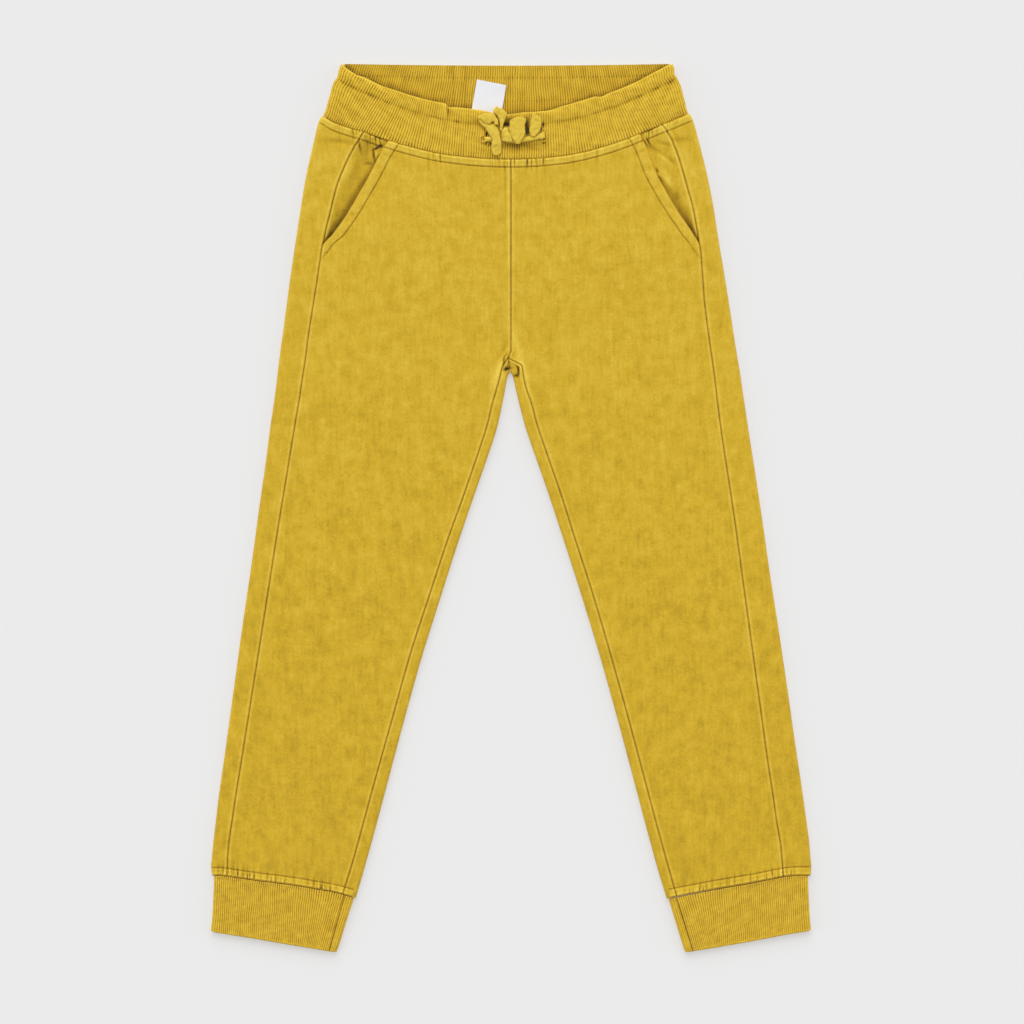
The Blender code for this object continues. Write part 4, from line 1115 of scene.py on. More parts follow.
def panel_rows(half, loose, pocket):
    """Rows from the hem to the waist, close together at both and at the crotch.

    loose is their spacing on the plain cloth, pocket beside the pocket.
    """
    hem, waist = half.knots[0], half.knots[-1]
    gap = SEAM_LINE / 2
    return spaced((hem + gap, 0.25), (hem + 1.6, 0.7), (hem + 6.5, 0.35), (hem + 8.5, 0.7),
                  (hem + 17, loose), (105.0, 1.2), (130.0, 0.6), (half.crotch, 0.8),
                  (152.0, 1.4), (195.0, loose), (228.0, pocket), (waist - 20, 0.7),
                  (waist - 8, 0.35), (waist - 6, 0.7), (waist - 1.6, 0.25), end=waist - gap)


def front_grid(half):
    """The front panel's outer points and their tones, from its outer edge inwards."""
    rows = panel_rows(half, 2.2, 1.3)[:, None]
    first = half.at("edge", rows) + SEAM_LINE / 2
    last = half.span(rows) - SEAM_LINE / 2
    middle = np.linspace(0, 1, FRONT_MIDDLE + 2)[1:-1]
    near, far = FRONT_EDGE_STOPS[-1], INNER_EDGE_STOPS[-1]
    stops = np.concatenate([
        first + FRONT_EDGE_STOPS,
        first + near + (last - far - first - near) * middle,
        last - INNER_EDGE_STOPS[::-1],
    ], axis=1)
    x, y = half.on_top(rows, stops)
    outer, inner = stops - first, last - stops
    height = half.at("height", rows)
    relief = gathers(half, x, y) + seam_profile(inner)
    relief += (1 - open_at(half, rows)) * seam_profile(outer)
    hem, hem_raise = pocket_hem(half, rows, outer)
    folds = soft_folds(FOLDS, x, y) * np.clip(np.minimum(inner, outer + 2) / 10, 0, 1)
    creases = soft_folds(CREASES, x, y) * np.clip(inner / 2, 0, 1)
    z = height + relief + hem + hem_raise + folds + creases + lie(x, y)
    # The tone follows the relief: wear and painted highlight where the cloth stands up, dye and
    # painted shade where it sinks, and the painted shade of the tucks.
    tone = relief + hem + 0.3 * hem_raise + creases + soft_folds(SHADES, x, y) + TONE_RISE_PER_MM * y
    return lift_hem(half, np.stack([x, y, z], axis=-1)), tone_of(tone)


def open_at(half, rows):
    """1 on the rows where the pocket is open, 0 below its foot."""
    return ease(rows, half.pocket_foot, half.pocket_foot + 6)


def hem_width(half, rows):
    """How far the pocket's topstitch lies from its opening; it meets the seam below it."""
    foot = half.pocket_foot
    return through((foot - 13, foot - 5, foot + 3, foot + 11),
                   (0.0, 4.0, 7.5, POCKET_STITCH_AT), rows)


def pocket_hem(half, rows, outer):
    """The relief of the stitched hem along the pocket's opening, and how it stands up."""
    width = hem_width(half, rows)
    there = ease(width, 0.0, 2.5)
    raised = HEM_RAISE * there * (1 - ease(outer, width - 1.2, width + 0.4))
    lift = -STITCH_FURROW * there * bump(outer - width, STITCH_FURROW_WIDTH)
    lift = lift - 0.8 * open_at(half, rows) * bump(outer, 0.6)
    for crease in POCKET_CREASES[half.side]:
        along = ease(outer, 0.5, 4.0) * bump(outer, crease.reach)
        lift = lift - crease.depth * bump(rows - crease.row, crease.spread) * along
    return lift, raised


def build_front(half, material):
    grid, tone = front_grid(half)
    if half.side == "right":
        grid, tone = grid[:, ::-1], tone[:, ::-1]
    points, faces, tones = lined_wall(grid, JERSEY, tone, LINING_STEP)
    name = "front_panel_" + half.side
    piece = add_piece(name, points, faces, material, ["front_" + half.side], tones)
    return BVHTree.FromPolygons(points.tolist(), faces)


OUTER_STRIP = 1 - spaced((0.0, 0.014), (0.08, 0.022), end=0.99)
ROLL = np.linspace(pi / 2, -pi / 2, 13)
FLOOR = np.linspace(0, 1, 9)[1:]


def around(half, rows, angle, depth):
    """How far in from a fold its roll's points lie and their height, depth inside the skin."""
    radius = half.at("height", rows) / 2
    reach = radius - (radius - depth) * np.cos(angle)
    z = radius + (radius - depth) * np.sin(angle)
    return reach, z


def back_grid(half, rows, depth):
    """The back panel's points, from the outseam round both folds to the inseam."""
    radius = half.at("height", rows) / 2
    first = half.at("outseam", rows) - SEAM_LINE / 2
    distance = radius + (first - radius) * OUTER_STRIP
    x, y = half.on_top(rows, distance)
    relief = gathers(half, x, y) + seam_profile(first - distance) + soft_folds(CREASES, x, y)
    z = half.at("height", rows) - depth + relief + lie(x, y) * ease(distance, 0, 8.0)
    parts = [np.stack([x, y, z], axis=-1)]
    reach, z = around(half, rows, ROLL, depth)
    x, y = half.on_top(rows, reach)
    rolled = gathers(half, x, y) * np.clip(np.sin(ROLL), 0, 1)
    parts.append(np.stack([x, y, z + rolled], axis=-1))
    start = np.stack(half.on_top(rows, radius), axis=-1)
    end = np.stack([half.at("floor_x", rows), half.at("floor_y", rows)], axis=-1)
    plan = start + (end - start) * FLOOR[None, :, None]
    under = seam_lines(half, plan[..., 0], plan[..., 1])
    z = depth + np.clip(-under, 0.0, None)
    parts.append(np.concatenate([plan, z[..., None]], axis=-1))
    tone = [relief, rolled, under]
    parts += inner_fold(half, rows, depth, tone)
    grid = np.concatenate(parts, axis=1)
    upper = grid[..., 2] > half.at("height", rows) / 2
    shade = soft_folds(SHADES, grid[..., 0], grid[..., 1]) * upper + TONE_RISE_PER_MM * grid[..., 1]
    return lift_hem(half, grid), tone_of(np.concatenate(tone, axis=1) + shade)


def inner_fold(half, rows, depth, tone):
    """The roll at the inner fold and the strip from there to the inseam."""
    fold = np.stack([half.at("fold_x", rows), half.at("fold_y", rows)], axis=-1)
    outer = np.stack([half.at("outer_x", rows), rows], axis=-1)
    top_end = np.stack([half.at("end_x", rows), half.at("end_y", rows)], axis=-1)
    turn = half.at("turn", rows)[..., None]
    level = unit(outer - fold + np.array([1e-6, 0.0]))
    floor_way = unit((1 - turn) * level + turn * np.array([0.0, 1.0]))
    width = np.linalg.norm(top_end - fold, axis=-1)
    top_way = unit(top_end - fold + np.array([0.0, 1e-6]))
    angle = ROLL[-2::-1]
    turned = ((angle + pi / 2) / pi)[None, :, None]
    way = unit((1 - turned) * floor_way + turned * top_way)
    reach, z = around(half, rows, angle, depth)
    plan = fold + way * reach[..., None]
    parts = [np.concatenate([plan, (z + np.zeros(reach.shape))[..., None]], axis=-1)]
    radius = half.at("height", rows) / 2
    last = np.maximum(width - SEAM_LINE / 2, radius + 0.1)
    strip = spaced((0.08, 0.1), (0.7, 0.04), end=1.0)
    distance = radius + (last - radius) * strip
    plan = fold + top_way * distance[..., None]
    x, y = plan[..., 0], plan[..., 1]
    relief = gathers(half, x, y) * ease(distance, 1.0, radius + 2)
    relief = relief + seam_profile(last - distance) * ease(distance, 1.0, radius + 2)
    relief = relief + soft_folds(CREASES, x, y) * ease(distance, 2.0, 5.0)
    z = half.at("height", rows) - depth + relief
    parts.append(np.concatenate([plan, z[..., None]], axis=-1))
    tone += [np.zeros(parts[0].shape[:2]), relief]
    return parts


def build_back(half, material):
    rows = panel_rows(half, 4.0, 3.0)[:, None]
    outside, tone = back_grid(half, rows, 0.0)
    inside, _ = back_grid(half, rows, JERSEY)
    kept = np.ones((outside.shape[0] - 1, outside.shape[1] - 1), bool)
    inner_from = len(OUTER_STRIP) + len(ROLL) + len(FLOOR) - 1
    kept[rows[:-1, 0] >= half.crotch - 0.01, inner_from:] = False
    if half.side == "right":
        outside, inside = outside[:, ::-1], inside[:, ::-1]
        tone, kept = tone[:, ::-1], kept[:, ::-1]
    points, faces, tones = wall(outside[::-1], inside[::-1], tone[::-1], kept[::-1])
    name = "back_panel_" + half.side
    piece = add_piece(name, points, faces, material, ["back_" + half.side], tones)
    return BVHTree.FromPolygons(points.tolist(), faces)


# ---------------------------------------------------------------- topstitches

def stitch_rows(half):
    """Plan points along the topstitching of one side: at the waist, the cuff and the pocket."""
    waist_x = np.linspace(half.columns["outer_x"][-1] * 0.975, half.columns["end_x"][-1], 120)
    line, steepness = half.waist_line(waist_x)
    at_waist = np.stack([waist_x, line - WAIST_STITCH_AT * steepness], axis=-1)
    hem_x = np.linspace(half.columns["outer_x"][0] * 0.985, half.columns["fold_x"][0] * 1.03, 90)
    line, steepness = half.hem_line(hem_x)
    at_hem = np.stack([hem_x, line + HEM_STITCH_AT[half.side] * steepness], axis=-1)
    rows = np.linspace(half.pocket_foot - 5, half.knots[-1] - 1, 90)
    x, y = half.on_top(rows, half.at("edge", rows) + SEAM_LINE / 2 + hem_width(half, rows))
    return at_waist, lift_hem(half, at_hem), np.stack([x, y], axis=-1)


def cloth_height(trees, x, y):
    """The height of the highest of these pieces of cloth at a place in plan."""
    start = Vector((x, y, SIGHT_HEIGHT))
    hits = [tree.ray_cast(start, Vector((0.0, 0.0, -1.0)))[0] for tree in trees]
    return max((hit.z for hit in hits if hit is not None), default=0.0)


def build_stitches(half, trees, material):
    """The short stitches of one side, each lying in the furrow that it pulls in."""
    points = []
    faces = []
    first = 0
    for line in stitch_rows(half):
        lengths = np.linalg.norm(np.diff(line, axis=0), axis=1)
        run = np.concatenate([[0.0], np.cumsum(lengths)])
        for start in np.arange(0.5, run[-1] - STITCH, STITCH_PITCH):
            at = start + STITCH * np.array([0.0, 0.2, 0.8, 1.0])
            x, y = (np.interp(at, run, line[:, axis]) for axis in (0, 1))
            z = np.array([cloth_height(trees, *place) for place in zip(x, y)])
            z = z + THREAD * np.array([-0.4, 0.15, 0.15, -0.4])
            some, these = round_cord(np.stack([x, y, z], axis=-1), THREAD, False)
            points.append(some)
            faces += [[index + first for index in face] for face in these]
            first += len(some)
    points = np.concatenate(points)
    add_piece("topstitches_" + half.side, points, faces, material,
              tone=np.full(len(points), STITCH_TONE))


# ---------------------------------------------------------------- pocket facings

def build_facing(half, material):
    """The cloth seen inside the pocket's opening, running on under the front panel."""
    waist = half.knots[-1]
    rows = spaced((half.pocket_foot + 1.5, 0.8), end=waist - SEAM_LINE / 2)[:, None]
    near = half.at("outseam", rows) + SEAM_LINE / 2
    edge = half.at("edge", rows)
    opening = edge - near
    shares = np.concatenate([np.linspace(0, 1, 41), [1.3, 1.7, 2.0]])
    distance = np.where(shares <= 1, near + opening * shares,
                        edge + FACING_UNDERLAP * (shares - 1))
    drop = through([0.0, 0.3, 0.65, 1.0], [0.0, 0.35, 1.0, 1.0], np.clip(shares, 0, 1))
    closed = 1 - ease(opening, 0.0, 7.0)
    x, y = half.on_top(rows, distance)
    z = half.at("height", rows) - 0.2 - FACING_DROP * np.maximum(drop, closed)
    gape_rows, gape_widths, gape_depths = zip(*GAPES[half.side])
    width = through(gape_rows, gape_widths, rows)
    gape = through(gape_rows, gape_depths, rows) * (1 - ease(edge - distance, 0.1 * width, width))
    shown = np.clip((1 - shares) * 4, 0, 1)
    relief = soft_folds(FACING_FOLDS[half.side], x, y) + seam_profile(distance - near) * shown
    relief = relief + gathers(half, x, y) * shown
    outside = np.stack([x, y, z + relief * shown - 0.8 * gape], axis=-1)
    inside = outside - np.array([0.0, 0.0, FACING_CLOTH])
    # Painted shade: the creases painted in at almost twice their height, and the gape beside the
    # opening darkened.
    tone = np.clip(tone_of(1.8 * relief) + FACING_TONE_SHIFT[half.side] - 1.2 * gape, -2, 1)
    if half.side == "right":
        outside, inside, tone = outside[:, ::-1], inside[:, ::-1], tone[:, ::-1]
    points, faces, tones = wall(outside, inside, tone)
    name = "pocket_inside_" + half.side
    piece = add_piece(name, points, faces, material,
                      ["pocket_facing_" + half.side], tones)


# ---------------------------------------------------------------- ribbed band and cuffs

def ring_columns(ribs, fold_ribs, ribbed):
    """Columns round a flat tube: stretch, share along it and place in ribs.

    Stretches 0 to 3 are the front, the fold at its end, the back and the other fold.
    ribbed says for each whether it has ribs; one without has a few plain columns.
    """
    columns = []
    first_rib = 0
    for stretch in range(4):
        count = fold_ribs if stretch in (1, 3) else ribs
        plain = FOLD_COLUMNS if stretch in (1, 3) else FACE_COLUMNS
        places = [count * k / plain for k in range(plain)]
        if ribbed[stretch]:
            places = [rib + step for rib in range(count) for step in RIB_STEPS]
        columns += [(stretch, place / count, first_rib + place) for place in places]
        first_rib += count
    return np.array(columns)


def rib_valley(place):
    """1 in the middle of a valley between two ribs, 0 on the ribs."""
    off = np.abs(place - np.round(place))
    return bump(off, VALLEY_WIDTH)


def turned(columns, lengths, shift):
    """Stretch and share of each column once it is shifted round the tube."""
    stretch = columns[:, 0].astype(int)
    lengths = np.array(lengths)
    start = np.concatenate([[0.0], np.cumsum(lengths)])
    at = (start[stretch] + columns[:, 1] * lengths[stretch] + shift) % start[-1]
    now = np.clip(np.searchsorted(start, at, side="right") - 1, 0, 3)
    return now, (at - start[now]) / lengths[now]


def tube_skin(columns, levels, front, back, height, drop, depth, relief, lean):
    """Rows of rings of a flat tube's skin, depth inside its outer one, and their tones.

    front and back give plan points from a level and a share; drop lowers the upper face
    by level; lean gives how far the columns are shifted round the tube at a level; relief
    gives how deep the skin is pressed in and how much shade is painted on it besides, from the
    level, stretch, rib place, X and Y.
    """
    radius = height / 2
    rings = []
    tones = []
    for level in levels:
        width = front(level, 1.0)[0] - front(level, 0.0)[0]
        fold = pi * (radius - depth)
        shift = lean(columns[:, 0], columns[:, 1], level)
        stretch, share = turned(columns, (width, fold, width, fold), shift)
        angle = np.where(stretch == 1, pi / 2 - pi * share, -pi / 2 - pi * share)
        up = np.select([stretch == 0, stretch == 2], [1.0, -1.0], np.sin(angle))
        side = np.select([stretch == 1, stretch == 3], [1.0, -1.0], 0.0)
        out = np.abs(np.cos(angle)) * side
        beyond = np.abs(out) * (radius - depth) / width
        along = np.select([stretch == 0, stretch == 1, stretch == 2],
                          [share, 1 + beyond, 1 - share], -beyond)
        front_x, front_y = front(level, along)
        back_x, back_y = back(level, along)
        mixed = 0.5 * (1 - up)
        x = front_x + (back_x - front_x) * mixed
        y = front_y + (back_y - front_y) * mixed
        pressed, shade = relief(level, stretch, columns[:, 2], x, y)
        sign = 1.0 if depth == 0 else -1.0
        z = radius + (radius - depth) * up - drop(level) * np.maximum(up, 0)
        z = z - sign * up * pressed
        rings.append(np.stack([x - sign * out * pressed, y, z], axis=-1))
        # Painted highlight on the ribs' tops, painted shade the deeper the skin is pressed in,
        # and the painted shade besides.
        tones.append(RIB_TONE - RIB_TONE_DEPTH * pressed - shade)
    return np.array(rings), np.clip(tones, -2.0, 1.0)


def zip_rings(first, first_places, second, second_places):
    """Triangles between two closed rings of points, in step with their places."""
    faces = []
    i = 0
    j = 0
    while i < len(first) or j < len(second):
        next_first = first_places[i + 1] if i + 1 < len(first) else 1.0 + (i >= len(first))
        next_second = second_places[j + 1] if j + 1 < len(second) else 1.0 + (j >= len(second))
        here = first[i % len(first)]
        there = second[j % len(second)]
        if next_first <= next_second:
            faces.append([here, first[(i + 1) % len(first)], there])
            i += 1
        else:
            faces.append([here, second[(j + 1) % len(second)], there])
            j += 1
    return faces


def tube_faces(outer_shape, outer_places, inner_shape, inner_places):
    """Faces of a tube's two skins and of its two rims."""
    faces = []
    skins = []
    first = 0
    for (rows, columns), flip in ((outer_shape, False), (inner_shape, True)):
        index = first + np.arange(rows * columns).reshape(rows, columns)
        skins.append(index)
        ahead = np.roll(index, -1, axis=1)
        ring = np.stack([index[:-1], ahead[:-1], ahead[1:], index[1:]], axis=-1)
        ring = ring.reshape(-1, 4)
        faces += (ring[:, ::-1] if flip else ring).tolist()
        first += rows * columns
    outer, inner = skins
    rim = zip_rings(outer[0].tolist(), outer_places, inner[0].tolist(), inner_places)
    faces += [face[::-1] for face in rim]
    faces += zip_rings(outer[-1].tolist(), outer_places, inner[-1].tolist(), inner_places)
    return faces


def places_of(columns):
    return ((columns[:, 0] + columns[:, 1] * 0.999) / 4).tolist()


def add_stitch_places(piece, skins, depth):
    """Keep each point's place in ribs and height along its rib for the knit's dashes."""
    places = [np.tile(columns[:, 2], len(levels)) for columns, levels in skins]
    heights = [np.repeat(levels * depth, len(columns)) for columns, levels in skins]
    for name, values in (("rib", places), ("height", heights)):
        attribute = piece.data.attributes.new(name, "FLOAT", "POINT")
        attribute.data.foreach_set("value", np.concatenate(values).astype(np.float32))


def round_edge(distance, radius):
    """How far a face dips this far from its rounded edge."""
    inside = np.clip(radius - distance, 0.0, radius)
    return radius - np.sqrt(radius ** 2 - inside ** 2)


def band_edge(share, left, right, middle):
    """A curved edge of the band, from its two ends and its middle."""
    radius = BAND_HEIGHT / 2
    x = left[0] + radius + (right[0] - left[0] - 2 * radius) * share
    side_x = np.where(x < middle[0], left[0], right[0])
    side_y = np.where(x < middle[0], left[1], right[1])
    return x, middle[1] + (side_y - middle[1]) * ((x - middle[0]) / (side_x - middle[0])) ** 2


def front_edge(x):
    """The Y of the front's top edge."""
    side_x = np.where(x < BAND_FRONT_TOP[0], BAND_TOP_LEFT[0], BAND_TOP_RIGHT[0])
    share = (x - BAND_FRONT_TOP[0]) / (side_x - BAND_FRONT_TOP[0])
    rise = BAND_TOP_LEFT[1] - BAND_FRONT_TOP[1]
    return BAND_FRONT_TOP[1] + rise * share ** 2 + stray(BAND_EDGE, x)


def band_face(seam, top, front):
    """Plan points of the band's front or back, whose edges stray."""
    waist_left = (LEFT_HIP[-1].outer_x, LEFT_HIP[-1].outer_y)
    waist_right = (RIGHT_HIP[-1].outer_x, RIGHT_HIP[-1].outer_y)

    def at(level, share):
        low_x, low_y = band_edge(share, waist_left, waist_right, seam)
        high_x, high_y = band_edge(share, BAND_TOP_LEFT, BAND_TOP_RIGHT, top)
        x = low_x + (high_x - low_x) * level
        y = low_y + (high_y - low_y) * level + SEAM_LINE / 2 * (1 - level)
        left = stray(BAND_SIDES["left"], level) * (1 - ease(share, 0.0, 0.07))
        right = stray(BAND_SIDES["right"], level) * ease(share, 0.93, 1.0)
        if front:
            y = y + stray(BAND_EDGE, x) * ease(level, 0.75, 1.0)
            y = y + stray(WAIST_SEAM, low_x - left + right) * (1 - level)
        else:
            sides = WAIST_SEAM[0][1] * np.clip(1 - 2 * share, 0, 1)
            sides = sides + WAIST_SEAM[-1][1] * np.clip(2 * share - 1, 0, 1)
            y = y + sides * (1 - level) + BACK_RAISE * ease(level, 0.75, 1.0)
        corner = bump(x - BAND_TOP_LEFT[0], 2.6) + bump(x - BAND_TOP_RIGHT[0], 2.6)
        y = y - 0.5 * corner * ease(level, 0.85, 1.0)
        return x - left + right, y
    return at


def band_lean(stretch, share, level):
    """How far the band's columns are shifted round it at a level, so that its ribs lean."""
    front = stray(RIB_LEAN, share)
    back = stray(BACK_LEAN, 1 - share)
    lean = np.select([stretch == 0, stretch == 1, stretch == 2],
                     [front, RIB_LEAN[-1][1], back], RIB_LEAN[0][1])
    flat = (stretch == 0) | (stretch == 2)
    waver = 0.5 * cloud(300 * share, BAND_WIDTH * level, 12.0, 24) * np.sin(pi * share)
    return lean * (level - 0.5) + np.where(flat, waver, 0.0)


def band_relief(level, stretch, place, x, y):
    """How deep the band's outer skin is pressed in: valleys, channel and hollows; and the shade
    painted besides into the channel and the hollows round the bow.
    """
    height = level * BAND_WIDTH
    valley = RIB_VALLEY * rib_valley(place)
    valley = valley * (1 + 0.35 * cloud(place, height, 3.0, 21))
    valley = valley * (1 - 0.6 * ease(height, BAND_WIDTH - 2.5, BAND_WIDTH - 0.5))
    channel = 0.12 * bump(level - CHANNEL, 0.05) + 0.12 * bump(level - CHANNEL, 0.018)
    for hollow in CHANNEL_HOLLOWS:
        channel = channel + 0.6 * hollow.depth * bump(x - hollow.at, hollow.reach) * bump(
            level - CHANNEL, 0.028)
    teeth = 0.5 * rib_valley(place) * bump(level, 0.05)
    folds = soft_folds(BAND_FOLDS, x, y)
    pressed = valley + channel + teeth + 0.12 * cloud(x, height, 9.0, 23) - folds
    pressed = np.where(stretch == 2, 0.4 * RIB_VALLEY * rib_valley(place), pressed)
    # Painted shade in the channel and the hollows behind the bow; a painted highlight on the
    # pleat at the top edge.
    return pressed, np.where(stretch == 2, 0.0, 0.15 * channel - 0.3 * folds)


def inner_band_relief(level, stretch, place, x, y):
    """The same inside the back of the band, where it is seen over the front: painted shade all
    over and a painted shadow of the front's top edge.
    """
    valley = RIB_VALLEY * rib_valley(place)
    height = level * BAND_WIDTH
    rows = 0.35 * bump(height - INNER_STITCH_AT[0], 0.8) + 0.2 * bump(
        height - INNER_STITCH_AT[1], 0.8)
    join = 0.3 * bump(x - BACK_JOIN[0], 0.7) + 0.25 * bump(x - BACK_JOIN[1], 0.7)
    pressed = valley + rows + join + 0.14 * cloud(x, height, 8.0, 31)
    # Painted shade over the whole inside, and a painted shadow cast by the front's top edge.
    beyond = y - front_edge(x)
    shade = INNER_SHADE + 0.7 * bump(beyond, 3.5) + 0.25 * bump(beyond, 14.0)
    chain = np.cos(2 * pi * x / INNER_STITCH)
    shade = shade - 0.5 * (0.3 + chain) * bump(height - INNER_STITCH_AT[0], 1.1)
    shade = shade - 0.25 * (0.3 + chain) * bump(height - INNER_STITCH_AT[1], 1.1)
    return np.where(stretch == 2, pressed, 0.0), shade


def build_band(material):
    """The ribbed band, a flat tube from the waist seam up to its top edge."""
    front = band_face((0.0, LEFT_HIP[-1].front_y), BAND_FRONT_TOP, True)
    back = band_face((0.0, BAND_BACK_SEAM), (0.0, BAND_BACK_TOP), False)
    ribs = round((RIGHT_HIP[-1].outer_x - LEFT_HIP[-1].outer_x) / RIB_PITCH)
    outer_columns = ring_columns(ribs, BAND_FOLD_RIBS, (True, True, True, True))
    inner_columns = ring_columns(ribs, BAND_FOLD_RIBS, (False, False, True, False))
    levels = spaced((0.0, 0.008), (0.04, 0.021), (0.94, 0.012), end=1.0)
    share, low = zip(*BAND_PROFILE)

    def drop(level):
        edges = round_edge(level * BAND_WIDTH, 1.0) + round_edge((1 - level) * BAND_WIDTH, 1.6)
        return through(share, low, level) * 0.8 + 0.5 * edges

    outside, tones = tube_skin(outer_columns, levels, front, back, BAND_HEIGHT, drop, 0.0,
                               band_relief, band_lean)
    inner_levels = spaced((0.0, 0.025), end=1.0)
    inside, inner_tones = tube_skin(inner_columns, inner_levels, front, back, BAND_HEIGHT,
                                    lambda level: 0.0, RIB_CLOTH, inner_band_relief, band_lean)
    points = np.concatenate([outside.reshape(-1, 3), inside.reshape(-1, 3)])
    faces = tube_faces(outside.shape[:2], places_of(outer_columns),
                       inside.shape[:2], places_of(inner_columns))
    tone = np.concatenate([tones.ravel(), inner_tones.ravel()])
    band = add_piece("rib_waistband", points, faces, material, ["waistband"], tone)
    add_stitch_places(band, ((outer_columns, levels), (inner_columns, inner_levels)), BAND_WIDTH)


def cuff_relief(side, level, stretch, place, x, y):
    """How deep a cuff's outer skin is pressed in: valleys, and its join by the inseam."""
    height = level * CUFF_DEPTH
    top, foot = np.array(CUFF_JOINS[side])
    beside = x - top[0] - (foot[0] - top[0]) * (top[1] - y) / (top[1] - foot[1])
    beyond = beside if side == "left" else -beside
    valley = RIB_VALLEY * rib_valley(place) * (1 + 0.3 * cloud(place, height, 3.0, 41))
    valley = valley * (1 - 0.3 * ease(beyond, 0.0, 1.0)) * (1 - 0.6 * ease(-height, -2.5, -0.5))
    pressed = valley + 0.1 * cloud(x, height, 9.0, 42) + 0.8 * bump(beside, 0.75)
    pressed = pressed + 0.5 * rib_valley(place) * bump(1 - level, 0.05)
    shade = CUFF_SHADE + JOIN_SHADE * ease(beyond, 0.0, 1.5)
    return np.where(stretch == 2, 0.4 * RIB_VALLEY * rib_valley(place), pressed), shade


def cuff_lean(side, stretch, share, level):
    inward = share if side == "left" else 1 - share
    lean = stray(CUFF_LEAN, inward) * (1 if side == "left" else -1) * (level - 0.5)
    lean = lean + 0.5 * cloud(130 * share, CUFF_DEPTH * level, 12.0, 43) * np.sin(pi * share)
    return np.where(stretch == 0, lean, 0.0)


def build_cuff(side, material):
    """One ribbed cuff, a flat tube from its bottom edge up to the cuff seam."""
    cuff = CUFFS[side]
    ends = [cuff.end_outer, cuff.end_inner]
    seams = [cuff.seam_outer, cuff.seam_inner]
    if side == "right":
        ends.reverse()
        seams.reverse()
    ends, seams = np.array(ends), np.array(seams)

    def across(level, share):
        low = ends[0] + (seams[0] - ends[0]) * level
        high = ends[1] + (seams[1] - ends[1]) * level
        inset = CUFF_HEIGHT / 2 / (high[0] - low[0])
        along = inset + (1 - 2 * inset) * share
        x = low[0] + (high[0] - low[0]) * along
        y = low[1] + (high[1] - low[1]) * along - SEAM_LINE / 2 * level
        y = y + stray(HEM_SEAM[side], x) * level + stray(CUFF_END[side], x) * (1 - level)
        corner = bump(x - low[0], 2.2) + bump(x - high[0], 2.2)
        outer = 1 - share if side == "left" else share
        x = x + np.sign(x) * 0.8 * bump(level, 0.2) * ease(outer, 0.94, 1.0)
        return x, y + 0.9 * corner * (1 - ease(level, 0.0, 0.15))

    def drop(level):
        edges = round_edge((1 - level) * CUFF_DEPTH, 0.8) + round_edge(level * CUFF_DEPTH, 1.4)
        return 0.15 + 0.7 * edges

    def relief(*place):
        return cuff_relief(side, *place)

    def lean(*place):
        return cuff_lean(side, *place)

    ribs = round((seams[1][0] - seams[0][0]) / CUFF_RIB_PITCH)
    outer_columns = ring_columns(ribs, CUFF_FOLD_RIBS, (True, True, True, True))
    inner_columns = ring_columns(ribs, CUFF_FOLD_RIBS, (False, False, False, False))
    levels = spaced((0.0, 0.01), (0.05, 0.021), (0.95, 0.01), end=1.0)
    outside, tones = tube_skin(outer_columns, levels, across, across, CUFF_HEIGHT, drop, 0.0,
                               relief, lean)
    inner_levels = spaced((0.0, 0.1), end=1.0)
    inside, inner_tones = tube_skin(inner_columns, inner_levels, across, across, CUFF_HEIGHT,
                                    lambda level: 0.0, RIB_CLOTH,
                                    lambda *place: (0 * place[2], 0.0), lean)
    points = np.concatenate([outside.reshape(-1, 3), inside.reshape(-1, 3)])
    faces = tube_faces(outside.shape[:2], places_of(outer_columns),
                       inside.shape[:2], places_of(inner_columns))
    tone = np.concatenate([tones.ravel(), inner_tones.ravel()])
    piece = add_piece("rib_cuff_" + side, points, faces, material, ["cuff_" + side], tone)
    add_stitch_places(piece, ((outer_columns, levels), (inner_columns, inner_levels)), CUFF_DEPTH)


# ---------------------------------------------------------------- drawstring and label

def flat_tape(name):
    """The smooth middle surface of one stretch of tape, its middle standing up, creased."""
    cross = np.array(TAPES[name])
    middle = (cross[:, 0:2] + cross[:, 2:4]) / 2
    run = np.concatenate([[0.0], np.cumsum(np.linalg.norm(np.diff(middle, axis=0), axis=1))])
    at = np.linspace(0.0, run[-1], 14 * len(cross))
    ax, ay, bx, by, z = (through(run, column, at) for column in cross.T)
    share = np.linspace(0, 1, 17)
    x = ax[:, None] + (bx - ax)[:, None] * share
    y = ay[:, None] + (by - ay)[:, None] * share
    if name in FRAYED_TAPES:
        end = bump(at, 1.2)[:, None]
        y = y + 0.5 * end * cloud(x, 0.0, 0.7, 71)
    crown = TAPE_CROWN * (0.3 - np.abs(2 * share - 1) ** 3)
    crease = soft_folds(TAPE_FOLDS[name], x, y)
    uneven = 0.18 * cloud(x, y, 3.0, len(name))
    grid = np.stack([x, y, z[:, None] + crown + 0.5 * crease + uneven], axis=-1)
    return grid, crease, np.stack([(ax + bx) / 2, (ay + by) / 2, z], axis=-1)


def grid_normals(grid):
    return unit(np.cross(np.gradient(grid, axis=1), np.gradient(grid, axis=0)))


def tape_mesh(name):
    grid, crease, path = flat_tape(name)
    normal = grid_normals(grid)
    share = np.linspace(-1, 1, grid.shape[1])[None, :, None]
    half = TAPE / 2 * np.sqrt(np.clip(1.05 - share ** 8, 0.05, 1))
    edge = np.abs(share[..., 0])
    # Painted light and shade of the tape: a painted highlight near each edge, painted shade at
    # the very edges, and the creases painted in.
    tone = np.clip(0.25 * bump(edge - 0.72, 0.14) - 0.8 * edge ** 10 + crease, -2, 1)
    points, faces, tones = wall(grid + normal * half, grid - normal * half, tone)
    return points, faces, tones, path


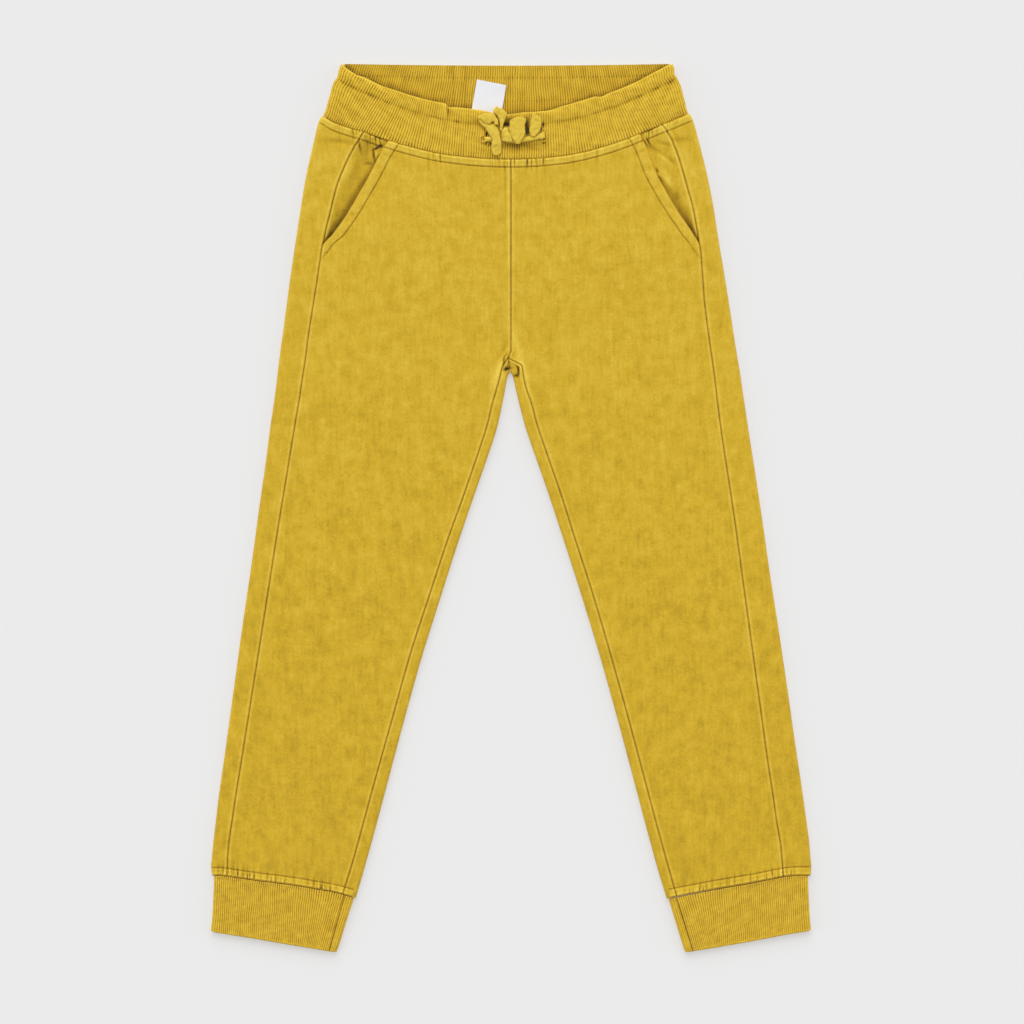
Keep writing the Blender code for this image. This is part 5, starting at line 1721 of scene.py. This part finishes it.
def build_tapes(piece_name, names, material):
    """One piece from one or more stretches of tape that are one string."""
    points, faces, tones, paths = [], [], [], []
    first = 0
    for name in names:
        some, these, tone, path = tape_mesh(name)
        points.append(some)
        faces += [[index + first for index in face] for face in these]
        tones.append(tone)
        paths.append(path)
        first += len(some)
    piece = add_piece(piece_name, np.concatenate(points), faces, material,
                      names, np.concatenate(tones))
    return piece, np.concatenate(paths)


def build_drawstring(material):
    up_tail, _ = build_tapes("drawstring_up_tail", ["tie_up_tail"], material)
    right_tail, _ = build_tapes("drawstring_right_tail", ["tie_right_tail"], material)
    left, left_path = build_tapes(
        "drawstring_left", ["tie_left_strand", "tie_left_loop"], material)
    right, right_path = build_tapes(
        "drawstring_right", ["tie_right_strand", "tie_right_loop", "tie_middle_leaf"], material)


def round_cord(path, diameter, closed):
    """Points and faces of a round cord along a path, closed to a ring or with round ends."""
    path = np.asarray(path, float)
    ahead = np.roll(path, -1, axis=0) if closed else np.concatenate([path[1:], path[-1:]])
    behind = np.roll(path, 1, axis=0) if closed else np.concatenate([path[:1], path[:-1]])
    way = unit(ahead - behind)
    side = unit(np.cross(way, [0.0, 0.0, 1.0]))
    over = np.cross(side, way)
    turn = np.arange(6) * pi / 3
    size = np.full(len(path), diameter / 2)
    if not closed:
        size[[0, -1]] *= 0.35
    ring = side[:, None] * np.cos(turn)[:, None] + over[:, None] * np.sin(turn)[:, None]
    points = path[:, None] + ring * size[:, None, None]
    index = np.arange(len(path) * 6).reshape(-1, 6)
    if closed:
        index = np.concatenate([index, index[:1]])
    onward = np.roll(index, -1, axis=1)
    faces = np.stack([index[:-1], index[1:], onward[1:], onward[:-1]], axis=-1)
    faces = faces.reshape(-1, 4).tolist()
    if not closed:
        faces += [index[0].tolist(), index[-1][::-1].tolist()]
    return points.reshape(-1, 3), faces


def build_eyelets(material):
    """The thick stitched rings round the holes that the drawstring comes out of."""
    for side, corners in EYELETS.items():
        corners = np.array(corners + corners[:1])
        run = np.arange(len(corners))
        at = np.linspace(0, len(corners) - 1, 6 * len(corners))[:-1]
        x, y = (np.interp(at, run, column) for column in corners.T)
        x, y = ((np.roll(v, 2) + np.roll(v, 1) + v + np.roll(v, -1) + np.roll(v, -2)) / 5
                for v in (x, y))
        path = np.stack([x, y, np.full(len(x), EYELET_HEIGHT)], axis=-1)
        points, faces = round_cord(path, EYELET_THREAD, True)
        add_piece("eyelet_" + side, points, faces, material,
                  tone=np.full(len(points), 0.3))


def build_label(material):
    top_left, top_right = (np.array(corner) for corner in LABEL_TOP)
    down = np.linspace(0, 1, 40)[:, None]
    across = np.linspace(0, 1, 30)[None, :]
    way = np.array(LABEL_TILT) * LABEL_LENGTH
    x = top_left[0] + (top_right[0] - top_left[0]) * across + way[0] * down
    y = top_left[1] + (top_right[1] - top_left[1]) * across + way[1] * down
    z = LABEL_HEIGHT + 0.25 * np.sin(pi * across) * (1 - down) + 0.1 * cloud(x, y, 9.0, 51)
    middle = np.stack([x, y, z + 0 * x], axis=-1)
    offset = np.array([0.0, 0.0, LABEL_CLOTH / 2])
    points, faces, tones = wall((middle + offset)[::-1], (middle - offset)[::-1])
    piece = add_piece("white_label", points, faces, material, ["care_label"], tones)


# ---------------------------------------------------------------- materials

def new_group(name, inputs, outputs):
    tree = bpy.data.node_groups.new(name, "ShaderNodeTree")
    for label, kind, value in inputs:
        socket = tree.interface.new_socket(label, in_out="INPUT", socket_type=kind)
        socket.default_value = value
    for label, kind in outputs:
        tree.interface.new_socket(label, in_out="OUTPUT", socket_type=kind)
    return tree


class Wiring:
    """Short calls to add nodes to a tree and join them."""

    def __init__(self, tree):
        self.tree = tree

    def add(self, kind, **settings):
        node = self.tree.nodes.new("ShaderNode" + kind)
        for label, value in settings.items():
            setattr(node, label, value)
        return node

    def set(self, socket, value):
        if isinstance(value, bpy.types.NodeSocket):
            self.tree.links.new(value, socket)
        else:
            socket.default_value = value

    def math(self, operation, first, second=0.0, third=0.0):
        node = self.add("Math", operation=operation)
        for socket, value in zip(node.inputs, (first, second, third)):
            self.set(socket, value)
        return node.outputs[0]

    def noise(self, vector, scale, detail=2.0, roughness=0.5):
        node = self.add("TexNoise")
        self.set(node.inputs["Vector"], vector)
        self.set(node.inputs["Scale"], scale)
        node.inputs["Detail"].default_value = detail
        node.inputs["Roughness"].default_value = roughness
        return node.outputs["Fac"]

    def mix(self, factor, first, second):
        node = self.add("Mix", data_type="RGBA", clamp_factor=True)
        self.set(node.inputs["Factor"], factor)
        self.set(node.inputs[6], first)
        self.set(node.inputs[7], second)
        return node.outputs[2]


def rib_dashes_group():
    """Painted highlights and shade of the short stitches along each rib, from the ribs' places
    kept on the mesh.
    """
    tree = new_group(
        "Rib dashes",
        (("Stitch Length", "NodeSocketFloat", 1.7), ("Strength", "NodeSocketFloat", 0.3)),
        (("Painted Stitch Light", "NodeSocketFloat"),))
    wiring = Wiring(tree)
    given = tree.nodes.new("NodeGroupInput").outputs
    rib = wiring.add("Attribute", attribute_name="rib", attribute_type="GEOMETRY")
    height = wiring.add("Attribute", attribute_name="height", attribute_type="GEOMETRY")
    number = wiring.math("FLOOR", rib.outputs["Fac"])
    start = wiring.add("TexWhiteNoise", noise_dimensions="1D")
    wiring.set(start.inputs["W"], number)
    course = wiring.math("DIVIDE", height.outputs["Fac"], given["Stitch Length"])
    course = wiring.math("ADD", course, start.outputs["Value"])
    dash = wiring.math("SINE", wiring.math("MULTIPLY", course, 2 * pi))
    across = wiring.math("SUBTRACT", rib.outputs["Fac"], number)
    across = wiring.math("SINE", wiring.math("MULTIPLY", across, pi))
    dash = wiring.math("MULTIPLY", dash, wiring.math("MULTIPLY", across, across))
    made = tree.nodes.new("NodeGroupOutput").inputs
    wiring.set(made["Painted Stitch Light"], wiring.math("MULTIPLY", dash, given["Strength"]))
    return tree


def dyed_knit_group():
    """Garment-dyed knit: soft blotches, faint streaks and grain; by tone, wear and a painted
    highlight on ridges, dye and painted shade in furrows, painted shade in hollows; and a rib's
    painted stitch light.
    """
    tree = new_group(
        "Garment-dyed knit",
        (("Colour", "NodeSocketColor", (0.6, 0.4, 0.04, 1)),
         ("Furrow Colour", "NodeSocketColor", (0.2, 0.12, 0.01, 1)),
         ("Ridge Colour", "NodeSocketColor", (0.8, 0.55, 0.1, 1)),
         ("Hollow Colour", "NodeSocketColor", (0.05, 0.03, 0.003, 1)),
         ("Painted Stitch Light", "NodeSocketFloat", 0.0),
         ("Blotch Size", "NodeSocketFloat", 10.0),
         ("Mottle", "NodeSocketFloat", 0.5),
         ("Grain Size", "NodeSocketFloat", 1.8),
         ("Grain", "NodeSocketFloat", 0.5),
         ("Stitch Pitch", "NodeSocketFloat", 0.9),
         ("Roughness", "NodeSocketFloat", 0.92)),
        (("Colour", "NodeSocketColor"), ("Height", "NodeSocketFloat"),
         ("Roughness", "NodeSocketFloat")))
    wiring = Wiring(tree)
    given = tree.nodes.new("NodeGroupInput").outputs
    made = tree.nodes.new("NodeGroupOutput").inputs
    place = wiring.add("TexCoord").outputs["Object"]
    to_mm = wiring.add("VectorMath", operation="SCALE")
    wiring.set(to_mm.inputs[0], place)
    to_mm.inputs["Scale"].default_value = 1 / MM
    place = to_mm.outputs[0]
    blotch = wiring.noise(place, wiring.math("DIVIDE", 1.0, given["Blotch Size"]), 2.0, 0.5)
    streaked = wiring.add("Mapping", vector_type="POINT")
    wiring.set(streaked.inputs["Vector"], place)
    streaked.inputs["Rotation"].default_value = (0.0, 0.0, radians(35))
    streaked.inputs["Scale"].default_value = (0.4, 0.06, 0.3)
    streak = wiring.noise(streaked.outputs[0], 1.0, 1.0)
    grain = wiring.noise(place, wiring.math("DIVIDE", 1.0, given["Grain Size"]), 2.0, 0.6)
    patches = wiring.math("MULTIPLY_ADD", streak, 0.5, blotch)
    patches = wiring.math("MULTIPLY", wiring.math("SUBTRACT", patches, 0.75), given["Mottle"])
    specks = wiring.math("MULTIPLY", wiring.math("SUBTRACT", grain, 0.5), given["Grain"])
    uneven = wiring.math("ADD", wiring.math("ADD", patches, specks), given["Painted Stitch Light"])
    tone = wiring.add("Attribute", attribute_name="tone", attribute_type="GEOMETRY")
    shade = wiring.math("ADD", tone.outputs["Fac"], uneven)
    # A lighter tone mixes in the Ridge Colour (wear and painted highlight), a darker one the
    # Furrow Colour (dye and painted shade).
    ridge = wiring.math("MAXIMUM", shade, 0.0)
    furrow = wiring.math("MAXIMUM", wiring.math("MULTIPLY", shade, -1.0), 0.0)
    # Below -1 the tone turns to the near-black Hollow Colour: painted shade in the deepest
    # hollows, gaps and holes.
    hollow = wiring.math("MAXIMUM", wiring.math("SUBTRACT", furrow, 1.0), 0.0)
    colour = wiring.mix(ridge, given["Colour"], given["Ridge Colour"])
    colour = wiring.mix(furrow, colour, given["Furrow Colour"])
    wiring.set(made["Colour"], wiring.mix(hollow, colour, given["Hollow Colour"]))
    split = wiring.add("SeparateXYZ")
    wiring.set(split.inputs[0], place)
    wale = wiring.math("DIVIDE", split.outputs[0], given["Stitch Pitch"])
    course = wiring.math("DIVIDE", split.outputs[1], given["Stitch Pitch"])
    slant = wiring.math("PINGPONG", wale, 0.5)
    rows = wiring.math("SINE", wiring.math("MULTIPLY", wiring.math("ADD", course, slant), 2 * pi))
    knit = wiring.math("MULTIPLY_ADD", rows, 0.35, wiring.math("MULTIPLY", slant, 1.2))
    height = wiring.math("MULTIPLY_ADD", grain, 1.4, knit)
    wiring.set(made["Height"], wiring.math("ADD", blotch, height))
    fuzz = wiring.math("SUBTRACT", 0.5, grain)
    wiring.set(made["Roughness"], wiring.math("MULTIPLY_ADD", fuzz, 0.3, given["Roughness"]))
    return tree


def knit_material(name, group, dashes=None):
    """The material of one of the finishes; dashes is the group of a rib's stitches."""
    finish = FINISHES[name]
    material = bpy.data.materials.new(name)
    material.use_nodes = True
    wiring = Wiring(material.node_tree)
    shader = material.node_tree.nodes["Principled BSDF"]
    look = wiring.add("Group", node_tree=group)
    for label, colour in (("Colour", finish.colour), ("Furrow Colour", finish.furrow),
                          ("Ridge Colour", finish.ridge)):
        look.inputs[label].default_value = (*colour, 1.0)
    for label, value in (("Blotch Size", finish.blotch_size), ("Mottle", finish.mottle),
                         ("Grain Size", finish.grain_size), ("Grain", finish.grain),
                         ("Stitch Pitch", finish.stitch), ("Roughness", finish.roughness)):
        look.inputs[label].default_value = value
    # A rib's stitches come in as painted highlight and shade.
    if dashes is not None:
        stitches = wiring.add("Group", node_tree=dashes)
        wiring.set(look.inputs["Painted Stitch Light"], stitches.outputs["Painted Stitch Light"])
    wiring.set(shader.inputs["Base Color"], look.outputs["Colour"])
    raised = wiring.add("Bump")
    raised.inputs["Strength"].default_value = 1.0
    raised.inputs["Distance"].default_value = finish.bump * MM
    wiring.set(raised.inputs["Height"], look.outputs["Height"])
    wiring.set(shader.inputs["Normal"], raised.outputs["Normal"])
    wiring.set(shader.inputs["Roughness"], look.outputs["Roughness"])
    shader.inputs["Specular IOR Level"].default_value = CLOTH_SPECULAR
    shader.inputs["Sheen Weight"].default_value = CLOTH_SHEEN
    shader.inputs["Sheen Roughness"].default_value = CLOTH_SHEEN_ROUGHNESS
    return material


# ---------------------------------------------------------------- camera, light and floor

def add_camera():
    data = bpy.data.cameras.new("camera")
    data.lens = LENS
    data.sensor_width = SENSOR
    data.clip_end = 20.0
    camera = bpy.data.objects.new("camera", data)
    distance = VIEW_WIDTH * LENS / SENSOR + VIEW_HEIGHT
    camera.location = Vector((*VIEW_CENTRE, distance)) * MM
    bpy.context.collection.objects.link(camera)
    bpy.context.scene.camera = camera


def add_light(name, tilt, heading, angle, strength):
    """A far soft light, tilted from straight above towards a heading from +X."""
    data = bpy.data.lights.new(name, "SUN")
    data.angle = radians(angle)
    data.energy = strength
    light = bpy.data.objects.new(name, data)
    way = Vector((sin(radians(tilt)) * cos(radians(heading)),
                  sin(radians(tilt)) * sin(radians(heading)), cos(radians(tilt))))
    light.rotation_euler = way.to_track_quat("Z", "Y").to_euler()
    light.location = way
    bpy.context.collection.objects.link(light)


def add_studio():
    bpy.context.scene.view_settings.view_transform = "Standard"
    for light in LIGHTS:
        add_light(*light)
    world = bpy.context.scene.world or bpy.data.worlds.new("world")
    bpy.context.scene.world = world
    world.use_nodes = True
    world.node_tree.nodes["Background"].inputs["Color"].default_value = (1, 1, 1, 1)
    world.node_tree.nodes["Background"].inputs["Strength"].default_value = WORLD_LIGHT
    mesh = bpy.data.meshes.new("floor")
    corners = ((-1, -1), (1, -1), (1, 1), (-1, 1))
    points = [(x * FLOOR_REACH, y * FLOOR_REACH, -FLOOR_DROP) for x, y in corners]
    mesh.from_pydata(points, [], [[0, 1, 2, 3]])
    floor = bpy.data.objects.new("floor", mesh)
    bpy.context.collection.objects.link(floor)
    paper = bpy.data.materials.new("pale paper")
    paper.use_nodes = True
    shader = paper.node_tree.nodes["Principled BSDF"]
    shader.inputs["Base Color"].default_value = (PAPER_GREY, PAPER_GREY, PAPER_GREY, 1)
    shader.inputs["Roughness"].default_value = 0.95
    shader.inputs["Specular IOR Level"].default_value = 0.0
    shader.inputs["Emission Color"].default_value = (1, 1, 1, 1)
    shader.inputs["Emission Strength"].default_value = PAPER_GLOW
    mesh.materials.append(paper)


# ---------------------------------------------------------------- the bottoms

def main():
    add_camera()
    knit = dyed_knit_group()
    jersey = knit_material("mustard jersey", knit)
    rib = knit_material("mustard rib", knit, rib_dashes_group())
    tape = knit_material("mustard tape", knit)
    satin = knit_material("white satin tape", knit)
    build_drawstring(tape)
    build_eyelets(rib)
    for side in ("left", "right"):
        half = Half(side)
        front = build_front(half, jersey)
        back = build_back(half, jersey)
        build_stitches(half, (front, back), jersey)
        build_facing(half, jersey)
        build_cuff(side, rib)
    build_band(rib)
    build_label(satin)
    add_studio()


main()
